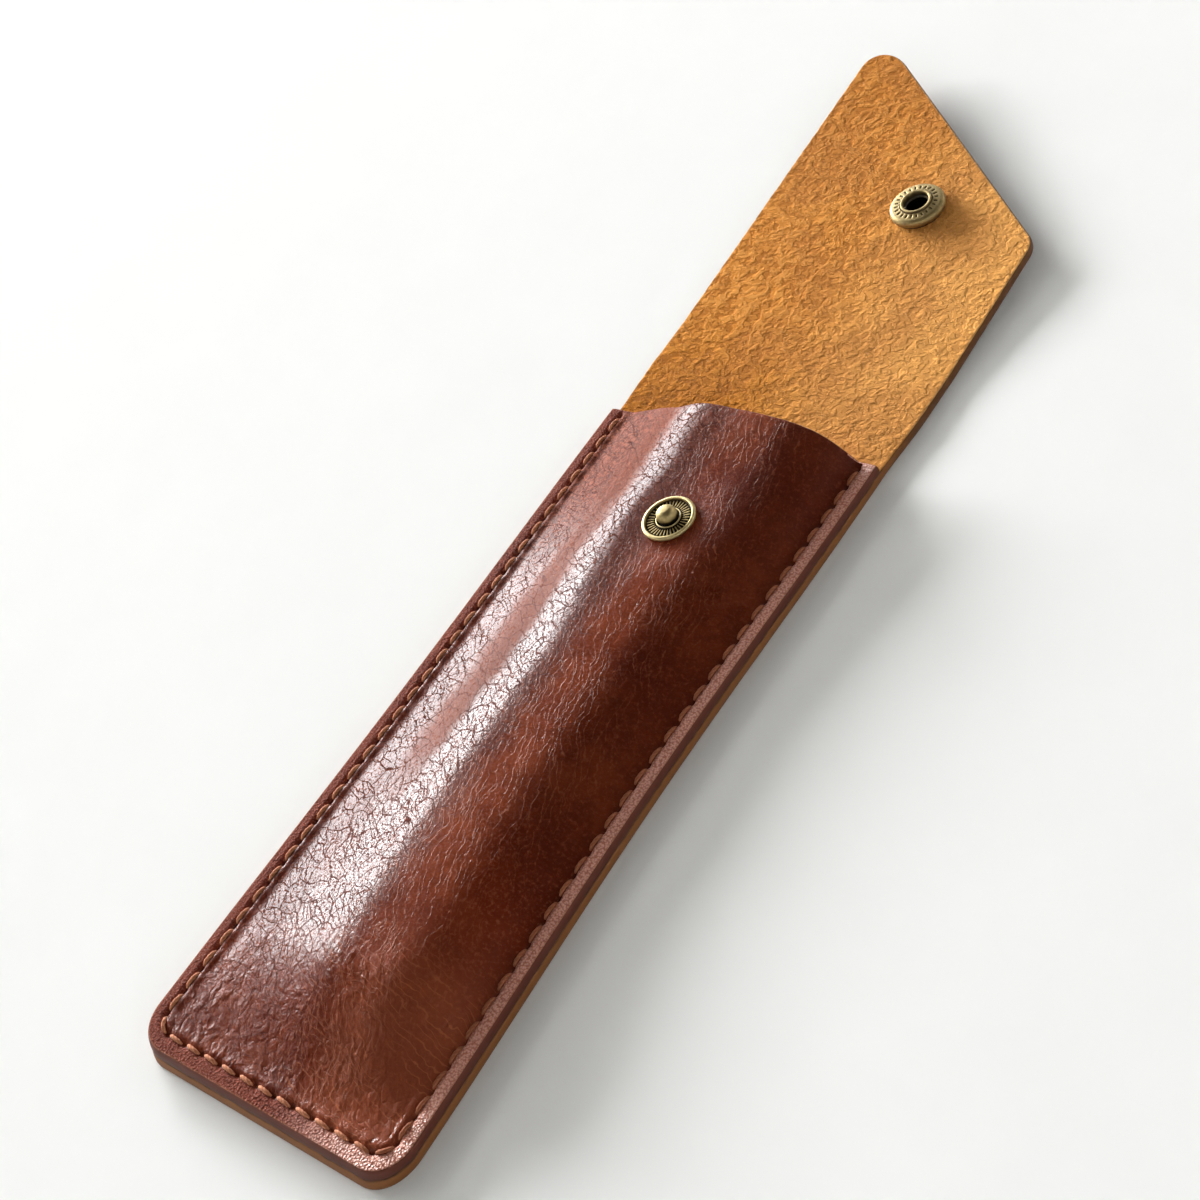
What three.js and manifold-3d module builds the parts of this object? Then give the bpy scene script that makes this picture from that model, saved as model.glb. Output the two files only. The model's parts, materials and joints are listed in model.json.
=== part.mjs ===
// Pen pouch of waxed leather. A formed front panel is sewn to a flat back sheet round three sides. The back sheet
// runs on past the mouth as a long flap with a slanted end, which folds over the front and closes with a press snap.
//
// Millimetres, +Z up. The pouch lies on its back with the flap laid open. +X runs across it and +Y from its closed
// end towards the tip of the flap. The origin is the middle of its footprint on the table.

import * as THREE from "three";
import { mergeVertices, toCreasedNormals } from "three/addons/utils/BufferGeometryUtils.js";
import Module from "manifold-3d";

const wasm = await Module();
wasm.setup();

// Leather panels
const leather = 1.7; // thickness of each panel
const frontWidth = 60;
const pocketLength = 143.3;
const drawIn = { left: 0.65, right: 1.3 }; // the sewn sides bow inwards by this much at mid length
const bottomLedge = 1.4; // the back sheet reaches this much past the front panel at the bottom
const cornerRadius = 6.5;
const burnish = 0.3; // rounding of the cut leather edges
const seatGap = 0.02; // clearance between faces that rest on each other

// Flap, measured from the mouth of the pocket
const flapLeftReach = 107.5;
const flapRightReach = 56.5;
const flapLeftRadius = 5;
const flapRightRadius = 4;
const flapFlare = 0.7; // past the seam the sheet lies flat and spreads this much at each side
const flareRun = 14;

// Bulge of the front panel over the pocket
const bulgeHeight = 7.6;
const bulgePeakAcross = 3.6; // the ridge runs a little right of the middle
const leftFootInset = 8; // from the side edge to where the leather starts to rise
const rightFootInset = 3.9;
const bottomFoot = 6;
const bottomRun = 30; // length over which the bulge reaches its full height
const bulgeFlatness = 2.9; // 2 gives a round arch, more gives a flatter top
const bulgeFootSoftness = 1.25;
const dimpleFlat = 5.6; // radius of the level place under the snap stud
const dimpleReach = 8; // width of the ring where the dimple runs out

// Seam
const stitchInset = 3;
const stitchPitch = 4.4;
const threadRadius = 0.34;
const grooveWidth = 1.1;
const frontGrooveDepth = 0.75;
const backGrooveDepth = 1;
const frontThreadWave = 0.17;
const backThreadWave = 0.1;
const threadClearance = 0.06;
const seamEnd = 1.6; // the seam stops this far below the mouth

// Press snap
const snapAcross = 4;
const studBelowMouth = 25.2;
const socketPastMouth = 60.5;
const studSeatHeight = 9.2; // top of the leather under the stud
const snapGap = 0.2; // between the lip of the socket and the floor of the stud when closed
const shankClearance = 0.15;
const stud = {
  radius: 5,
  rimHeight: 0.9,
  rimRound: 0.4,
  recessOuter: 4.3,
  recessInner: 2.25,
  floorHeight: 0.45, // floor of the recessed ring
  draft: 0.1,
  collarRadius: 2.05,
  collarHeight: 0.8,
  ballRadius: 1.9,
  ballRound: 1.1,
  ballTop: 2.9,
};
const rivet = { radius: 4.3, flange: 0.5, edge: 0.25, shank: 1, depthInStud: 1.3 };
const socket = {
  radius: 5.5,
  foot: 5.2,
  domeRound: 0.9,
  height: 2.5,
  bore: 2.5,
  lipWidth: 0.8,
  lipRound: 0.2,
  shoulderRadius: 3.85,
  shoulderHeight: 2.15,
  floor: 0.35,
};
const spring = { seatRadius: 2.75, low: 0.95, high: 1.65, draft: 0.1, wire: 0.28, play: 0.06, openingDegrees: 50 };
const cap = { radius: 6.2, height: 1.8, rim: 0.45, edge: 0.2, shank: 2, shankWall: 0.5, shankStandOut: 0.1 };
const ridge = { count: 24, width: 0.26, height: 0.12, margin: 0.2 };

// Fold of the flap: the sheet bends round a row of parallel lines on its inner face
const foldLines = 4;
const foldGap = 0.04;

// Fineness
const sideSteps = 10;
const flareSteps = 3;
const turnedSegments = 28;
const bulgeColumns = 22;
const bulgeRows = 27;
const stepsPerStitch = 3;
const threadSides = 5;
const springSides = 8;
const springSteps = 20;
const cornerSteps = 8;
const edgeSteps = 2;
const profileSteps = 6;
const creaseAngle = THREE.MathUtils.degToRad(35);

// Materials
const waxedLeather = new THREE.MeshStandardMaterial({ color: 0x6e3220, roughness: 0.35, metalness: 0 });
const suedeLeather = new THREE.MeshStandardMaterial({ color: 0xb5702c, roughness: 0.95, metalness: 0 });
const sewingThread = new THREE.MeshStandardMaterial({ color: 0xc8825f, roughness: 0.8, metalness: 0 });
const antiqueBrass = new THREE.MeshStandardMaterial({ color: 0x8a7446, roughness: 0.35, metalness: 1 });
const springSteel = new THREE.MeshStandardMaterial({ color: 0x55524c, roughness: 0.4, metalness: 1 });

// Places that follow from the driving dimensions
const frontHalf = frontWidth / 2;
const flapHalf = frontHalf + flapFlare;
const frontBase = leather + seatGap;
const marginTop = frontBase + leather;
const studAlong = pocketLength - studBelowMouth;
const socketAlong = pocketLength + socketPastMouth;
const studLift = studSeatHeight - marginTop;
const capDome = cap.height - cap.rim;
const capSphere = (cap.radius ** 2 + capDome ** 2) / (2 * capDome);
const closedHeight = studSeatHeight + stud.floorHeight + snapGap + socket.height + 2 * seatGap;

// The flap lies open on the dome of its snap cap, which tilts it a little. Closing turns every fold line by the same
// step, and the spacing of the lines is what brings the socket down on the stud with the flap level above it. The
// tilt and the spacing depend on each other, so both are refined together.
function planFold() {
  const rise = closedHeight - leather;
  let tilt = 0;
  let plan = {};
  for (let pass = 0; pass < 20; pass++) {
    const step = (Math.PI - tilt) / foldLines;
    let risePerSpacing = 0;
    let runPerSpacing = 0;
    for (let line = 1; line < foldLines; line++) {
      risePerSpacing += Math.sin(line * step);
      runPerSpacing += Math.cos(line * step);
    }
    const spacing = rise / risePerSpacing;
    const openRun = (foldLines - 1) * spacing;
    const socketFromLast = (socketAlong - studAlong - openRun + runPerSpacing * spacing) / 2;
    const firstLine = socketAlong - socketFromLast - openRun;
    plan = { tilt, step, spacing, socketFromLast, firstLine };
    const capDepth = leather + seatGap + cap.height;
    const domeSag = capSphere * (1 - Math.cos(tilt));
    tilt = Math.asin((capDepth * Math.cos(tilt) - leather + domeSag) / socketFromLast);
  }
  return plan;
}
const fold = planFold();
const lastLine = fold.firstLine + (foldLines - 1) * fold.spacing;

// Solids and meshes

function solidOf(geometry) {
  const bare = new THREE.BufferGeometry();
  bare.setAttribute("position", geometry.getAttribute("position"));
  bare.setIndex(geometry.getIndex());
  const merged = mergeVertices(bare, 1e-4);
  const corners = merged.getIndex().array;
  const triangles = [];
  for (let i = 0; i < corners.length; i += 3) {
    const [a, b, c] = corners.slice(i, i + 3);
    if (a !== b && b !== c && c !== a) {
      triangles.push(a, b, c);
    }
  }
  return new wasm.Manifold(
    new wasm.Mesh({
      numProp: 3,
      vertProperties: merged.getAttribute("position").array,
      triVerts: new Uint32Array(triangles),
    }),
  );
}

function addPiece(parent, name, solid, material) {
  const data = solid.getMesh();
  const geometry = new THREE.BufferGeometry();
  geometry.setAttribute("position", new THREE.BufferAttribute(new Float32Array(data.vertProperties), 3));
  geometry.setIndex(new THREE.BufferAttribute(new Uint32Array(data.triVerts), 1));
  const mesh = new THREE.Mesh(toCreasedNormals(geometry, creaseAngle), material);
  mesh.name = name;
  parent.add(mesh);
}

function block(from, to) {
  const size = new THREE.Vector3().subVectors(to, from);
  const middle = new THREE.Vector3().addVectors(from, to).multiplyScalar(0.5);
  return solidOf(new THREE.BoxGeometry(size.x, size.y, size.z).translate(middle.x, middle.y, middle.z));
}

function upright(radius, low, high) {
  const cylinder = new THREE.CylinderGeometry(radius, radius, high - low, turnedSegments);
  return solidOf(cylinder.rotateX(Math.PI / 2).translate(0, 0, (low + high) / 2));
}

// A solid turned round +Z from a profile of [radius, height] points.
function turned(profile) {
  const points = profile.map(([radius, height]) => new THREE.Vector2(radius, height));
  return solidOf(new THREE.LatheGeometry(points, turnedSegments).rotateX(Math.PI / 2));
}

// Points of a circular arc in a profile, from one angle to the other, in degrees.
function profileArc(radius, height, bend, from, to) {
  const points = [];
  for (let i = 0; i <= profileSteps; i++) {
    const angle = THREE.MathUtils.degToRad(THREE.MathUtils.lerp(from, to, i / profileSteps));
    points.push([radius + bend * Math.cos(angle), height + bend * Math.sin(angle)]);
  }
  return points;
}

// Bars that point at the axis, evenly spaced round it.
function radialBars(inner, outer, low, high) {
  let bars = null;
  for (let i = 0; i < ridge.count; i++) {
    const start = new THREE.Vector3(inner, -ridge.width / 2, low);
    const end = new THREE.Vector3(outer, ridge.width / 2, high);
    const bar = block(start, end).rotate([0, 0, (360 * i) / ridge.count]);
    bars = bars ? bars.add(bar) : bar;
  }
  return bars;
}

// Outlines

// Distance of a side edge from the middle line. "side" is -1 at the left and 1 at the right.
function sideAt(half, side, along) {
  const inPocket = THREE.MathUtils.clamp(along / pocketLength, 0, 1);
  const bow = side < 0 ? drawIn.left : drawIn.right;
  return half - bow * Math.sin(Math.PI * inPocket) ** 2;
}

// One long edge of the pocket, from the bottom to the mouth, without its ends.
function longEdge(half, side) {
  const points = [];
  for (let i = 1; i < sideSteps; i++) {
    const along = (pocketLength * i) / sideSteps;
    points.push({ x: side * sideAt(half, side, along), y: along, r: 0 });
  }
  return points;
}

// The edge of the back sheet from the end of the seam to where the flap has its full width.
function flareEdge(side) {
  const points = [];
  for (let i = 0; i <= flareSteps; i++) {
    const along = pocketLength + (flareRun * i) / flareSteps;
    const spread = flapFlare * THREE.MathUtils.smoothstep(along, pocketLength, pocketLength + flareRun);
    points.push({ x: side * (frontHalf + spread), y: along, r: 0 });
  }
  return points;
}

// Lines through the given corners, with every corner that has a radius rounded off.
function addRounded(path, corners, closed) {
  const count = corners.length;
  corners.forEach((corner, i) => {
    const here = new THREE.Vector2(corner.x, corner.y);
    const isEnd = !closed && (i === 0 || i === count - 1);
    if (isEnd || corner.r === 0) {
      if (i === 0) {
        path.moveTo(here.x, here.y);
      } else {
        path.lineTo(here.x, here.y);
      }
      return;
    }
    const before = corners[(i + count - 1) % count];
    const after = corners[(i + 1) % count];
    const back = new THREE.Vector2(before.x, before.y).sub(here).normalize();
    const onward = new THREE.Vector2(after.x, after.y).sub(here).normalize();
    const halfAngle = Math.acos(back.dot(onward)) / 2;
    const start = here.clone().addScaledVector(back, corner.r / Math.tan(halfAngle));
    const end = here.clone().addScaledVector(onward, corner.r / Math.tan(halfAngle));
    const inwards = back.clone().add(onward).normalize();
    const centre = here.clone().addScaledVector(inwards, corner.r / Math.sin(halfAngle));
    const clockwise = back.cross(onward) > 0;
    const from = start.sub(centre).angle();
    const to = end.sub(centre).angle();
    if (i === 0) {
      path.moveTo(centre.x + corner.r * Math.cos(from), centre.y + corner.r * Math.sin(from));
    }
    path.absarc(centre.x, centre.y, corner.r, from, to, clockwise);
  });
  return path;
}

// The seam line and lines beside it: down the left side, across the bottom and up the right side.
function seamCorners(inset, top) {
  const half = frontHalf - inset;
  const radius = cornerRadius - inset;
  return [
    { x: -half, y: top, r: 0 },
    ...longEdge(half, -1).reverse(),
    { x: -half, y: inset, r: radius },
    { x: half, y: inset, r: radius },
    ...longEdge(half, 1),
    { x: half, y: top, r: 0 },
  ];
}

// A sheet of leather with burnished edges, lying on z = 0.
function sheet(corners) {
  const shape = addRounded(new THREE.Shape(), corners, true);
  const geometry = new THREE.ExtrudeGeometry(shape, {
    depth: leather - 2 * burnish,
    bevelThickness: burnish,
    bevelSize: burnish,
    bevelOffset: -burnish,
    bevelSegments: edgeSteps,
    curveSegments: cornerSteps,
  });
  return solidOf(geometry.translate(0, 0, burnish));
}

// Back sheet and flap, cut from one piece of leather

const backSheet = sheet([
  { x: -frontHalf, y: -bottomLedge, r: cornerRadius },
  { x: frontHalf, y: -bottomLedge, r: cornerRadius },
  ...longEdge(frontHalf, 1),
  ...flareEdge(1),
  { x: flapHalf, y: pocketLength + flapRightReach, r: flapRightRadius },
  { x: -flapHalf, y: pocketLength + flapLeftReach, r: flapLeftRadius },
  ...flareEdge(-1).reverse(),
  ...longEdge(frontHalf, -1).reverse(),
]);

const far = 400; // well past every edge

// The part of the back sheet between two places along it.
function sheetBetween(from, to) {
  return backSheet.intersect(block(new THREE.Vector3(-far, from, -far), new THREE.Vector3(far, to, far)));
}

// A shallow channel for the seam thread, open at the mouth.
function seamGroove(low, high) {
  const top = pocketLength + 1;
  const outer = seamCorners(stitchInset - grooveWidth / 2, top);
  const inner = seamCorners(stitchInset + grooveWidth / 2, top).reverse();
  const shape = addRounded(new THREE.Shape(), [...outer, ...inner], true);
  const geometry = new THREE.ExtrudeGeometry(shape, { depth: high - low, bevelEnabled: false, curveSegments: cornerSteps });
  return solidOf(geometry.translate(0, 0, low));
}

// Round section of a thread or wire.
function roundSection(radius, sides) {
  const points = [];
  for (let i = 0; i < sides; i++) {
    const angle = (2 * Math.PI * i) / sides;
    points.push(new THREE.Vector2(radius * Math.cos(angle), radius * Math.sin(angle)));
  }
  return new THREE.Shape(points);
}

// Thread that rises and dips once in every stitch, along the seam line at the given middle height.
function seamThread(height, wave) {
  const line = addRounded(new THREE.Path(), seamCorners(stitchInset, pocketLength - seamEnd), false);
  const stitches = Math.round(line.getLength() / stitchPitch);
  const steps = stitches * stepsPerStitch;
  const points = line.getSpacedPoints(steps).map((point, i) => {
    const phase = (2 * Math.PI * i) / stepsPerStitch;
    return new THREE.Vector3(point.x, point.y, height - wave * Math.cos(phase));
  });
  const geometry = new THREE.ExtrudeGeometry(roundSection(threadRadius, threadSides), {
    steps,
    extrudePath: new THREE.CatmullRomCurve3(points),
  });
  return solidOf(geometry);
}

// Formed front panel

// Height of the pocket's roof above the flat margin. "across" runs from -1 at the left foot of the bulge over 0 at its
// ridge to 1 at the right foot.
function bulgeAt(across, x, y) {
  const arch = Math.max(0, 1 - Math.abs(across) ** bulgeFlatness) ** bulgeFootSoftness;
  const run = THREE.MathUtils.smoothstep(y, bottomFoot, bottomFoot + bottomRun);
  const lift = bulgeHeight * arch * run;
  const fromStud = Math.hypot(x - snapAcross, y - studAlong);
  const dimple = 1 - THREE.MathUtils.smoothstep(fromStud, dimpleFlat, dimpleFlat + dimpleReach);
  return THREE.MathUtils.lerp(lift, studLift, dimple);
}

// Solid between a level floor and the roof of the pocket, raised to the given base.
function pocketSolid(floor, base, end) {
  const positions = [];
  for (let row = 0; row <= bulgeRows; row++) {
    const y = THREE.MathUtils.lerp(bottomFoot, end, row / bulgeRows);
    const leftFoot = leftFootInset - sideAt(frontHalf, -1, y);
    const rightFoot = sideAt(frontHalf, 1, y) - rightFootInset;
    for (let column = 0; column <= bulgeColumns; column++) {
      const across = (2 * column) / bulgeColumns - 1;
      const x = THREE.MathUtils.lerp(bulgePeakAcross, across < 0 ? leftFoot : rightFoot, Math.abs(across));
      positions.push(x, y, base + bulgeAt(across, x, y));
      positions.push(x, y, floor);
    }
  }
  const roof = (row, column) => 2 * (row * (bulgeColumns + 1) + column);
  const under = (row, column) => roof(row, column) + 1;
  const faces = [];
  const quad = (a, b, c, d) => faces.push(a, b, c, a, c, d);
  for (let row = 0; row < bulgeRows; row++) {
    for (let column = 0; column < bulgeColumns; column++) {
      quad(roof(row, column), roof(row, column + 1), roof(row + 1, column + 1), roof(row + 1, column));
      quad(under(row, column), under(row + 1, column), under(row + 1, column + 1), under(row, column + 1));
    }
    quad(roof(row, 0), roof(row + 1, 0), under(row + 1, 0), under(row, 0));
    const last = bulgeColumns;
    quad(under(row, last), under(row + 1, last), roof(row + 1, last), roof(row, last));
  }
  for (let column = 0; column < bulgeColumns; column++) {
    const last = bulgeRows;
    quad(under(0, column), under(0, column + 1), roof(0, column + 1), roof(0, column));
    quad(roof(last, column), roof(last, column + 1), under(last, column + 1), under(last, column));
  }
  const geometry = new THREE.BufferGeometry();
  geometry.setAttribute("position", new THREE.Float32BufferAttribute(positions, 3));
  geometry.setIndex(faces);
  return solidOf(geometry);
}

function frontPanel() {
  const margin = sheet([
    { x: -frontHalf, y: 0, r: cornerRadius },
    { x: frontHalf, y: 0, r: cornerRadius },
    ...longEdge(frontHalf, 1),
    { x: frontHalf, y: pocketLength, r: 0 },
    { x: -frontHalf, y: pocketLength, r: 0 },
    ...longEdge(frontHalf, -1).reverse(),
  ]).translate([0, 0, frontBase]);
  const outside = pocketSolid(frontBase + leather / 2, marginTop, pocketLength);
  const inside = pocketSolid(frontBase - leather, frontBase - seatGap, pocketLength + leather);
  const seatUnder = studSeatHeight - leather;
  const seat = upright(stud.radius + shankClearance, seatUnder, studSeatHeight);
  const overSeat = upright(stud.radius + shankClearance, studSeatHeight, far);
  const underSeat = upright(rivet.radius + shankClearance, frontBase, seatUnder);
  const hole = upright(rivet.shank + shankClearance, frontBase, far);
  const atStud = [snapAcross, studAlong, 0];
  return margin
    .add(outside)
    .subtract(inside)
    .add(seat.translate(atStud))
    .subtract(overSeat.translate(atStud))
    .subtract(underSeat.translate(atStud))
    .subtract(hole.translate(atStud))
    .subtract(seamGroove(marginTop - frontGrooveDepth, far));
}

// Press snap, each piece with the leather face it sits on at z = 0

function snapStud() {
  const shankHole = rivet.shank + shankClearance;
  const body = turned([
    [0, rivet.depthInStud],
    [shankHole, rivet.depthInStud],
    [shankHole, 0],
    [stud.radius - stud.rimRound, 0],
    ...profileArc(stud.radius - stud.rimRound, stud.rimHeight - stud.rimRound, stud.rimRound, -45, 90),
    [stud.recessOuter, stud.rimHeight - stud.draft],
    [stud.recessOuter - stud.draft, stud.floorHeight],
    [stud.recessInner, stud.floorHeight],
    [stud.recessInner - stud.draft, stud.collarHeight],
    [stud.collarRadius, stud.collarHeight],
    ...profileArc(stud.ballRadius - stud.ballRound, stud.ballTop - stud.ballRound, stud.ballRound, -45, 90),
    [0, stud.ballTop],
  ]);
  const ridges = radialBars(
    stud.recessInner + ridge.margin,
    stud.recessOuter - stud.draft - ridge.margin,
    stud.floorHeight - ridge.height,
    stud.floorHeight + ridge.height,
  );
  return body.add(ridges);
}

// The rivet holds the stud from inside the pocket. Its flange lies under z = 0.
function studRivet() {
  const top = leather + 2 * seatGap + rivet.depthInStud - shankClearance;
  return turned([
    [0, -rivet.flange],
    [rivet.radius - rivet.edge, -rivet.flange],
    [rivet.radius, -rivet.edge],
    [rivet.radius, 0],
    [rivet.shank, 0],
    [rivet.shank, top],
    [0, top],
  ]);
}

function snapSocket() {
  const shankHole = cap.shank + shankClearance;
  const lipOuter = socket.bore + socket.lipWidth;
  const body = turned([
    [shankHole, 0],
    [socket.foot, 0],
    ...profileArc(socket.radius - socket.domeRound, socket.domeRound, socket.domeRound, -20, 75),
    [socket.shoulderRadius, socket.shoulderHeight],
    [lipOuter, socket.height - socket.lipRound],
    [lipOuter - socket.lipRound, socket.height],
    [socket.bore + socket.lipRound, socket.height],
    [socket.bore, socket.height - socket.lipRound],
    [socket.bore, spring.high + spring.draft],
    [spring.seatRadius, spring.high],
    [spring.seatRadius, spring.low],
    [socket.bore, spring.low - spring.draft],
    [socket.bore, socket.floor],
    [shankHole, socket.floor],
    [shankHole, 0],
  ]);
  const notches = radialBars(
    socket.shoulderRadius + ridge.margin,
    socket.radius - socket.domeRound + ridge.margin,
    2 * socket.domeRound - ridge.height,
    socket.height,
  );
  return body.subtract(notches);
}

// A wire ring, open at one place, that grips the ball of the stud.
function socketSpring() {
  const middle = (spring.low + spring.high) / 2;
  const radius = spring.seatRadius - spring.wire - spring.play;
  const points = [];
  for (let i = 0; i <= springSteps; i++) {
    const degrees = spring.openingDegrees / 2 + ((360 - spring.openingDegrees) * i) / springSteps;
    const angle = THREE.MathUtils.degToRad(degrees);
    points.push(new THREE.Vector3(radius * Math.cos(angle), radius * Math.sin(angle), middle));
  }
  const geometry = new THREE.ExtrudeGeometry(roundSection(spring.wire, springSides), {
    steps: springSteps,
    extrudePath: new THREE.CatmullRomCurve3(points),
  });
  return solidOf(geometry);
}

// Domed cap on the outside of the flap, with the hollow shank that holds the socket. The dome lies under z = 0.
function snapCap() {
  const edgeAngle = THREE.MathUtils.radToDeg(Math.asin(cap.radius / capSphere));
  const dome = profileArc(0, capSphere - cap.height, capSphere, -90, edgeAngle - 90);
  const shankTop = leather + seatGap + cap.shankStandOut;
  return turned([
    [0, -cap.height],
    ...dome.slice(1),
    [cap.radius, -cap.edge],
    [cap.radius - cap.edge, 0],
    [cap.shank, 0],
    [cap.shank, shankTop],
    [cap.shank - cap.shankWall, shankTop],
    [cap.shank - cap.shankWall, cap.rim],
    [0, cap.rim],
  ]);
}

// Assembly: the pouch carries the fold strips one after the other, and the last of them carries the flap

const pouch = new THREE.Group();
pouch.name = "pouch";

const backPanel = sheetBetween(-far, fold.firstLine - foldGap / 2).subtract(seamGroove(-far, backGrooveDepth));
addPiece(pouch, "back_panel", backPanel, suedeLeather);
addPiece(pouch, "front_panel", frontPanel(), waxedLeather);

const frontThreadHeight = marginTop - frontGrooveDepth + threadClearance + threadRadius + frontThreadWave;
const backThreadHeight = threadClearance + threadRadius + backThreadWave;
addPiece(pouch, "seam_thread_front", seamThread(frontThreadHeight, frontThreadWave), sewingThread);
addPiece(pouch, "seam_thread_back", seamThread(backThreadHeight, backThreadWave), sewingThread);

const studGroup = new THREE.Group();
studGroup.position.set(snapAcross, studAlong, studSeatHeight);
addPiece(studGroup, "snap_stud", snapStud().translate([0, 0, seatGap]), antiqueBrass);
addPiece(studGroup, "stud_rivet", studRivet().translate([0, 0, -leather - seatGap]), antiqueBrass);
pouch.add(studGroup);

let carrier = pouch;
for (let line = 0; line < foldLines - 1; line++) {
  const start = fold.firstLine + line * fold.spacing;
  const strip = sheetBetween(start + foldGap / 2, start + fold.spacing - foldGap / 2);
  const group = new THREE.Group();
  group.name = `fold_${line + 1}`;
  group.position.set(0, line === 0 ? start : fold.spacing, line === 0 ? leather : 0);
  addPiece(group, `fold_strip_${line + 1}`, strip.translate([0, -start, -leather]), suedeLeather);
  carrier.add(group);
  carrier = group;
}

const flap = new THREE.Group();
flap.name = "flap";
flap.position.set(0, fold.spacing, 0);
flap.rotation.x = fold.tilt;
carrier.add(flap);

const socketPlace = [snapAcross, fold.socketFromLast, 0];
const shankHole = upright(cap.shank + shankClearance, -far, far).translate(socketPlace);
const flapLeather = sheetBetween(lastLine + foldGap / 2, far).translate([0, -lastLine, -leather]);
addPiece(flap, "flap_panel", flapLeather.subtract(shankHole), suedeLeather);

const socketGroup = new THREE.Group();
socketGroup.position.set(...socketPlace);
addPiece(socketGroup, "snap_socket", snapSocket().translate([0, 0, seatGap]), antiqueBrass);
addPiece(socketGroup, "socket_spring", socketSpring().translate([0, 0, seatGap]), springSteel);
addPiece(socketGroup, "snap_cap", snapCap().translate([0, 0, -leather - seatGap]), antiqueBrass);
flap.add(socketGroup);

const penPouch = new THREE.Group();
penPouch.name = "pen_pouch";
penPouch.add(pouch);
penPouch.updateMatrixWorld(true);
const extent = new THREE.Box3().setFromObject(penPouch, true);
pouch.position.set(0, -(extent.min.y + extent.max.y) / 2, 0);

export default penPouch;
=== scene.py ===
import json
import math
from functools import partial, reduce
from types import SimpleNamespace

import bpy
import numpy as np
from mathutils import Matrix, Vector

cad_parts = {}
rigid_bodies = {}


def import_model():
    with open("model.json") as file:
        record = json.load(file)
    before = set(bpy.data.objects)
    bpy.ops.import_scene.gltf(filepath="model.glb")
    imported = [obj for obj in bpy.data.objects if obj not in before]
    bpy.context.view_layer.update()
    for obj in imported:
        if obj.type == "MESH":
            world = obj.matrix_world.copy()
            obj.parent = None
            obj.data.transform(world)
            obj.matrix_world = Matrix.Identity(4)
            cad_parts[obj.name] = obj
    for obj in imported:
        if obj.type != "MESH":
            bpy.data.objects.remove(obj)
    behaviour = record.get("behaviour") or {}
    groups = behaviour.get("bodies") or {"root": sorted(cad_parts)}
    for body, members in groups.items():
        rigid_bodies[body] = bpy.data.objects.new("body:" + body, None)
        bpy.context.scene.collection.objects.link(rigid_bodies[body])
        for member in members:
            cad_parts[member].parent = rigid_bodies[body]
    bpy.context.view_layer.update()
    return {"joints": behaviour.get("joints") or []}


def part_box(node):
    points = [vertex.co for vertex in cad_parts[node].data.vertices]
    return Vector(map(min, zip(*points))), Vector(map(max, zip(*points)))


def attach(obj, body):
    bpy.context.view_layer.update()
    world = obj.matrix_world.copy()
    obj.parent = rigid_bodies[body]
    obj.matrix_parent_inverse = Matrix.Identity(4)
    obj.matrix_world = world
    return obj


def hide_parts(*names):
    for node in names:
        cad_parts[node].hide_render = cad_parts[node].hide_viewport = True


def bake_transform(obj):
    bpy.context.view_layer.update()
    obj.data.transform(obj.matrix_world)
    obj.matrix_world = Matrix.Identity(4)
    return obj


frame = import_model()

# A pen pouch of waxed leather, lying open on a white table.
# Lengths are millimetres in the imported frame: +X across the pouch, +Y towards the tip of the flap, +Z up.

MM = 0.001  # metres in a millimetre


def node_box(node):
    low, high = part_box(node)
    return np.array(low) / MM, np.array(high) / MM


# Places taken from the frame
front_low, front_high = node_box("front_panel")
back_low, back_high = node_box("back_panel")
stud_low, stud_high = node_box("snap_stud")
bottom = front_low[1]
mouth = front_high[1]
half_width = front_high[0]
pocket_length = mouth - bottom
leather = back_high[2]
front_base = front_low[2]
margin_top = front_base + leather
ledge = bottom - back_low[1]
stud_place = np.append((stud_low + stud_high)[:2] / 2, stud_low[2])
hinges = [np.array(joint["pos_m"]) / MM for joint in frame["joints"]]
hinge_bodies = [(joint["parent"], joint["child"]) for joint in frame["joints"]]
fold_reach = (hinges[1][1] - hinges[0][1]) / 2  # the leather bends this far to both sides of a fold line

# Leather panels
corner_radius = 6.5
draw_in = {-1: 0.65, 1: 1.3}  # the sewn sides bow inwards by this much at mid length
edge_round = 0.45  # the cut edges are rubbed round
joint_round = 0.16  # rounding where the two panels meet at the edge
edge_swell = 0.05  # the edges stand out by this much at mid thickness
not_worn = 99.0  # a distance from the outline that is past the wear along it

# Flap, measured from the mouth
flap_left_reach = 107.4
flap_right_reach = 56.5
flap_tip_side = 9.9  # the rounding of the tip starts this far down the left edge
flap_tip_end = 12.9  # and ends this far along the slanted edge
flap_tip_fullness = 1.55  # 1 makes the rounding an ellipse, and more fills the corner
flap_right_radius = 5.5
flap_flare = 0.7
flare_run = 14
flap_half = half_width + flap_flare
flap_drop = flap_left_reach - flap_right_reach
flap_slope = -flap_drop / (2 * flap_half)
flap_tilt = math.radians(2.8897)  # the open flap lies on the dome of its snap cap

# Bulge of the front panel
bulge_height = front_high[2] - margin_top
bulge_peak = 3.0  # the ridge lies this far right of the middle line
low_peak_shift = 4.0  # this much further right near the bottom
top_peak_shift = -4.0  # and this much further left near the mouth
slack = 0.8  # the empty pocket sinks to this share of its full height, except at its mouth
low_slack = 0.95  # and to this share near its bottom
mouth_run = 16  # it rises to its full height over this length
left_foot_inset = 4.2
right_foot_inset = 3.9
bottom_foot = 5
bottom_run = 22
right_flatness = 3.5
top_flatness = 5.5  # the right flank starts further out near the mouth
bulge_foot_softness = 1.25
dimple_flat = 5.4  # the leather is level under the stud, out to this radius
dimple_reach = 8
stud_lift = stud_place[2] - margin_top

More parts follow.
